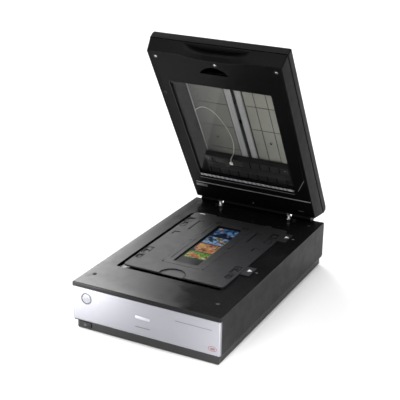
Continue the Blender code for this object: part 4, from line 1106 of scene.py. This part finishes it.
def build_cable():
    """The lamp's cable: from the connector over the unit's edge, in a loop along the tray."""
    route = [(-34, 117, 10.7), (-33, 125, 10.6), (-32.5, 132, 10.3), (-31.7, 135.8, 11.8),
             (-31, 137.6, 16.5), (-29.6, 142, 23.5), (-26, 166, 27.3), (-27, 194, 27.5),
             (-32, 216, 27.6), (-41, 238, 27.6), (-52, 256, 27.6), (-66, 265, 27.6),
             (-80, 264, 27.6), (-94, 253, 27.6)]
    cable = add("lamp_cable_lead", [tube(route, 0.85)], "cable", None, LID, bevel=0.0, smooth=False)
    cable.data.shade_smooth()
    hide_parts("lamp_cable")
    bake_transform(cable)


def build_lid_outside():
    """Shallow raised field on the lid's top, and details of the hinge block."""
    half, rear, front = 122.0, 18.0, 405.0
    slope = (44.5 - 49.5) / (SEAM_FRONT - SEAM_REAR)

    def up(a):
        return 49.5 + slope * (a - SEAM_REAR)

    loops = []
    for inset, lift in ((0.0, -0.05), (0.0, 0.25), (0.6, 0.45), (2.4, 0.45), (3.0, 0.25), (3.0, -0.05)):
        outline = rounded(-half + inset, half - inset, rear + inset, front - inset, 16 - inset, 6)
        loops.append([(x, a, up(a) + lift) for x, a in outline])
    add("lid_top_rim", [loft(loops, ring=True)], "lid_casing", "lid", LID, bevel=0.0)
    ribs = [block((x, -20.6, 8.2), (x + 36, -19.9, 9.4)) for x in (-126, 90)]
    add("hinge_block_ribs", ribs, "black", "lid", LID)


# ---------------------------------------------------------------- stage, light and camera
def build_stage():
    mesh = mesh_of("floor", [prism(circle(0, 0, 14000, 96), -40, -0.5)], MM)
    floor = bpy.data.objects.new("floor", mesh)
    bpy.context.scene.collection.objects.link(floor)
    shade = Shade("floor_paper", (0.93, 0.93, 0.93), 0.9)
    fibre = shade.noise(300.0, 3.0)
    shade.set("Base Color", shade.mix(shade.span(fibre, 0, 1), (0.925, 0.925, 0.925), (0.94, 0.94, 0.94)))
    shade.set("Specular IOR Level", 0.2)
    mesh.materials.append(shade.mat)


def area_light(name, place, target, size, power, height=None):
    light = bpy.data.lights.new(name, "AREA")
    light.shape = "RECTANGLE"
    light.size, light.size_y = size, height or size
    light.energy = power
    lamp = bpy.data.objects.new(name, light)
    bpy.context.scene.collection.objects.link(lamp)
    lamp.location = place
    lamp.rotation_euler = (Vector(target) - Vector(place)).to_track_quat("-Z", "Y").to_euler()
    return lamp


def build_light():
    world = bpy.data.worlds.new("studio")
    bpy.context.scene.world = world
    world.use_nodes = True
    tree = world.node_tree
    where = tree.nodes.new("ShaderNodeTexCoord").outputs["Generated"]
    dot = tree.nodes.new("ShaderNodeVectorMath")
    dot.operation = "DOT_PRODUCT"
    tree.links.new(where, dot.inputs[0])
    dot.inputs[1].default_value = Vector((-0.75, 0.55, 0.37)).normalized()
    spread = tree.nodes.new("ShaderNodeMapRange")
    spread.interpolation_type = "SMOOTHSTEP"
    tree.links.new(dot.outputs["Value"], spread.inputs["Value"])
    for key, value in (("From Min", 0.912), ("From Max", 0.962), ("To Min", 0.24), ("To Max", 8.0)):
        spread.inputs[key].default_value = value
    tree.links.new(spread.outputs["Result"], tree.nodes["Background"].inputs["Strength"])
    tree.nodes["Background"].inputs["Color"].default_value = (1.0, 1.0, 1.0, 1.0)
    sky = bpy.data.lights.new("sky_panel", "SUN")
    sky.energy, sky.angle = 2.8, math.radians(75)
    panel = bpy.data.objects.new("sky_panel", sky)
    bpy.context.scene.collection.objects.link(panel)
    panel.rotation_euler = (math.radians(8), math.radians(6), 0)
    area_light("glow_front_left", (-0.22, -0.40, 0.07), (-0.13, -0.25, 0.055), 0.12, 0.75)
    area_light("glow_front_right", (0.21, -0.40, 0.07), (0.14, -0.25, 0.05), 0.08, 0.6)
    bpy.context.scene.view_settings.view_transform = "Standard"


CAMERA_AT = Vector((0.8324, -1.6714, 0.9307))
CAMERA_TARGET = Vector((-0.0175, 0.0, 0.2007))
CAMERA_ROLL = math.radians(0.98)
CAMERA_LENS = 92.26


def build_camera():
    data = bpy.data.cameras.new("camera")
    data.lens = CAMERA_LENS
    data.sensor_width = 36.0
    camera = bpy.data.objects.new("camera", data)
    bpy.context.scene.collection.objects.link(camera)
    back = (CAMERA_AT - CAMERA_TARGET).normalized()
    right = Vector((0, 0, 1)).cross(back).normalized()
    up = back.cross(right)
    tilted_right = right * math.cos(CAMERA_ROLL) + up * math.sin(CAMERA_ROLL)
    tilted_up = back.cross(tilted_right)
    turn = Matrix((tilted_right, tilted_up, back)).transposed()
    camera.matrix_world = Matrix.Translation(CAMERA_AT) @ turn.to_4x4()
    bpy.context.scene.camera = camera


build_camera()
build_light()
build_stage()
dress_cad_nodes()
build_top_marks()
build_top_pads()
build_platen_surround()
build_front()
build_rear()
build_underside()
build_carriage_details()
build_pictures()
build_holder_details()
build_lid_underside()
build_tray_details()
build_lamp_unit()
build_cable()
build_lid_outside()

bpy.context.view_layer.update()
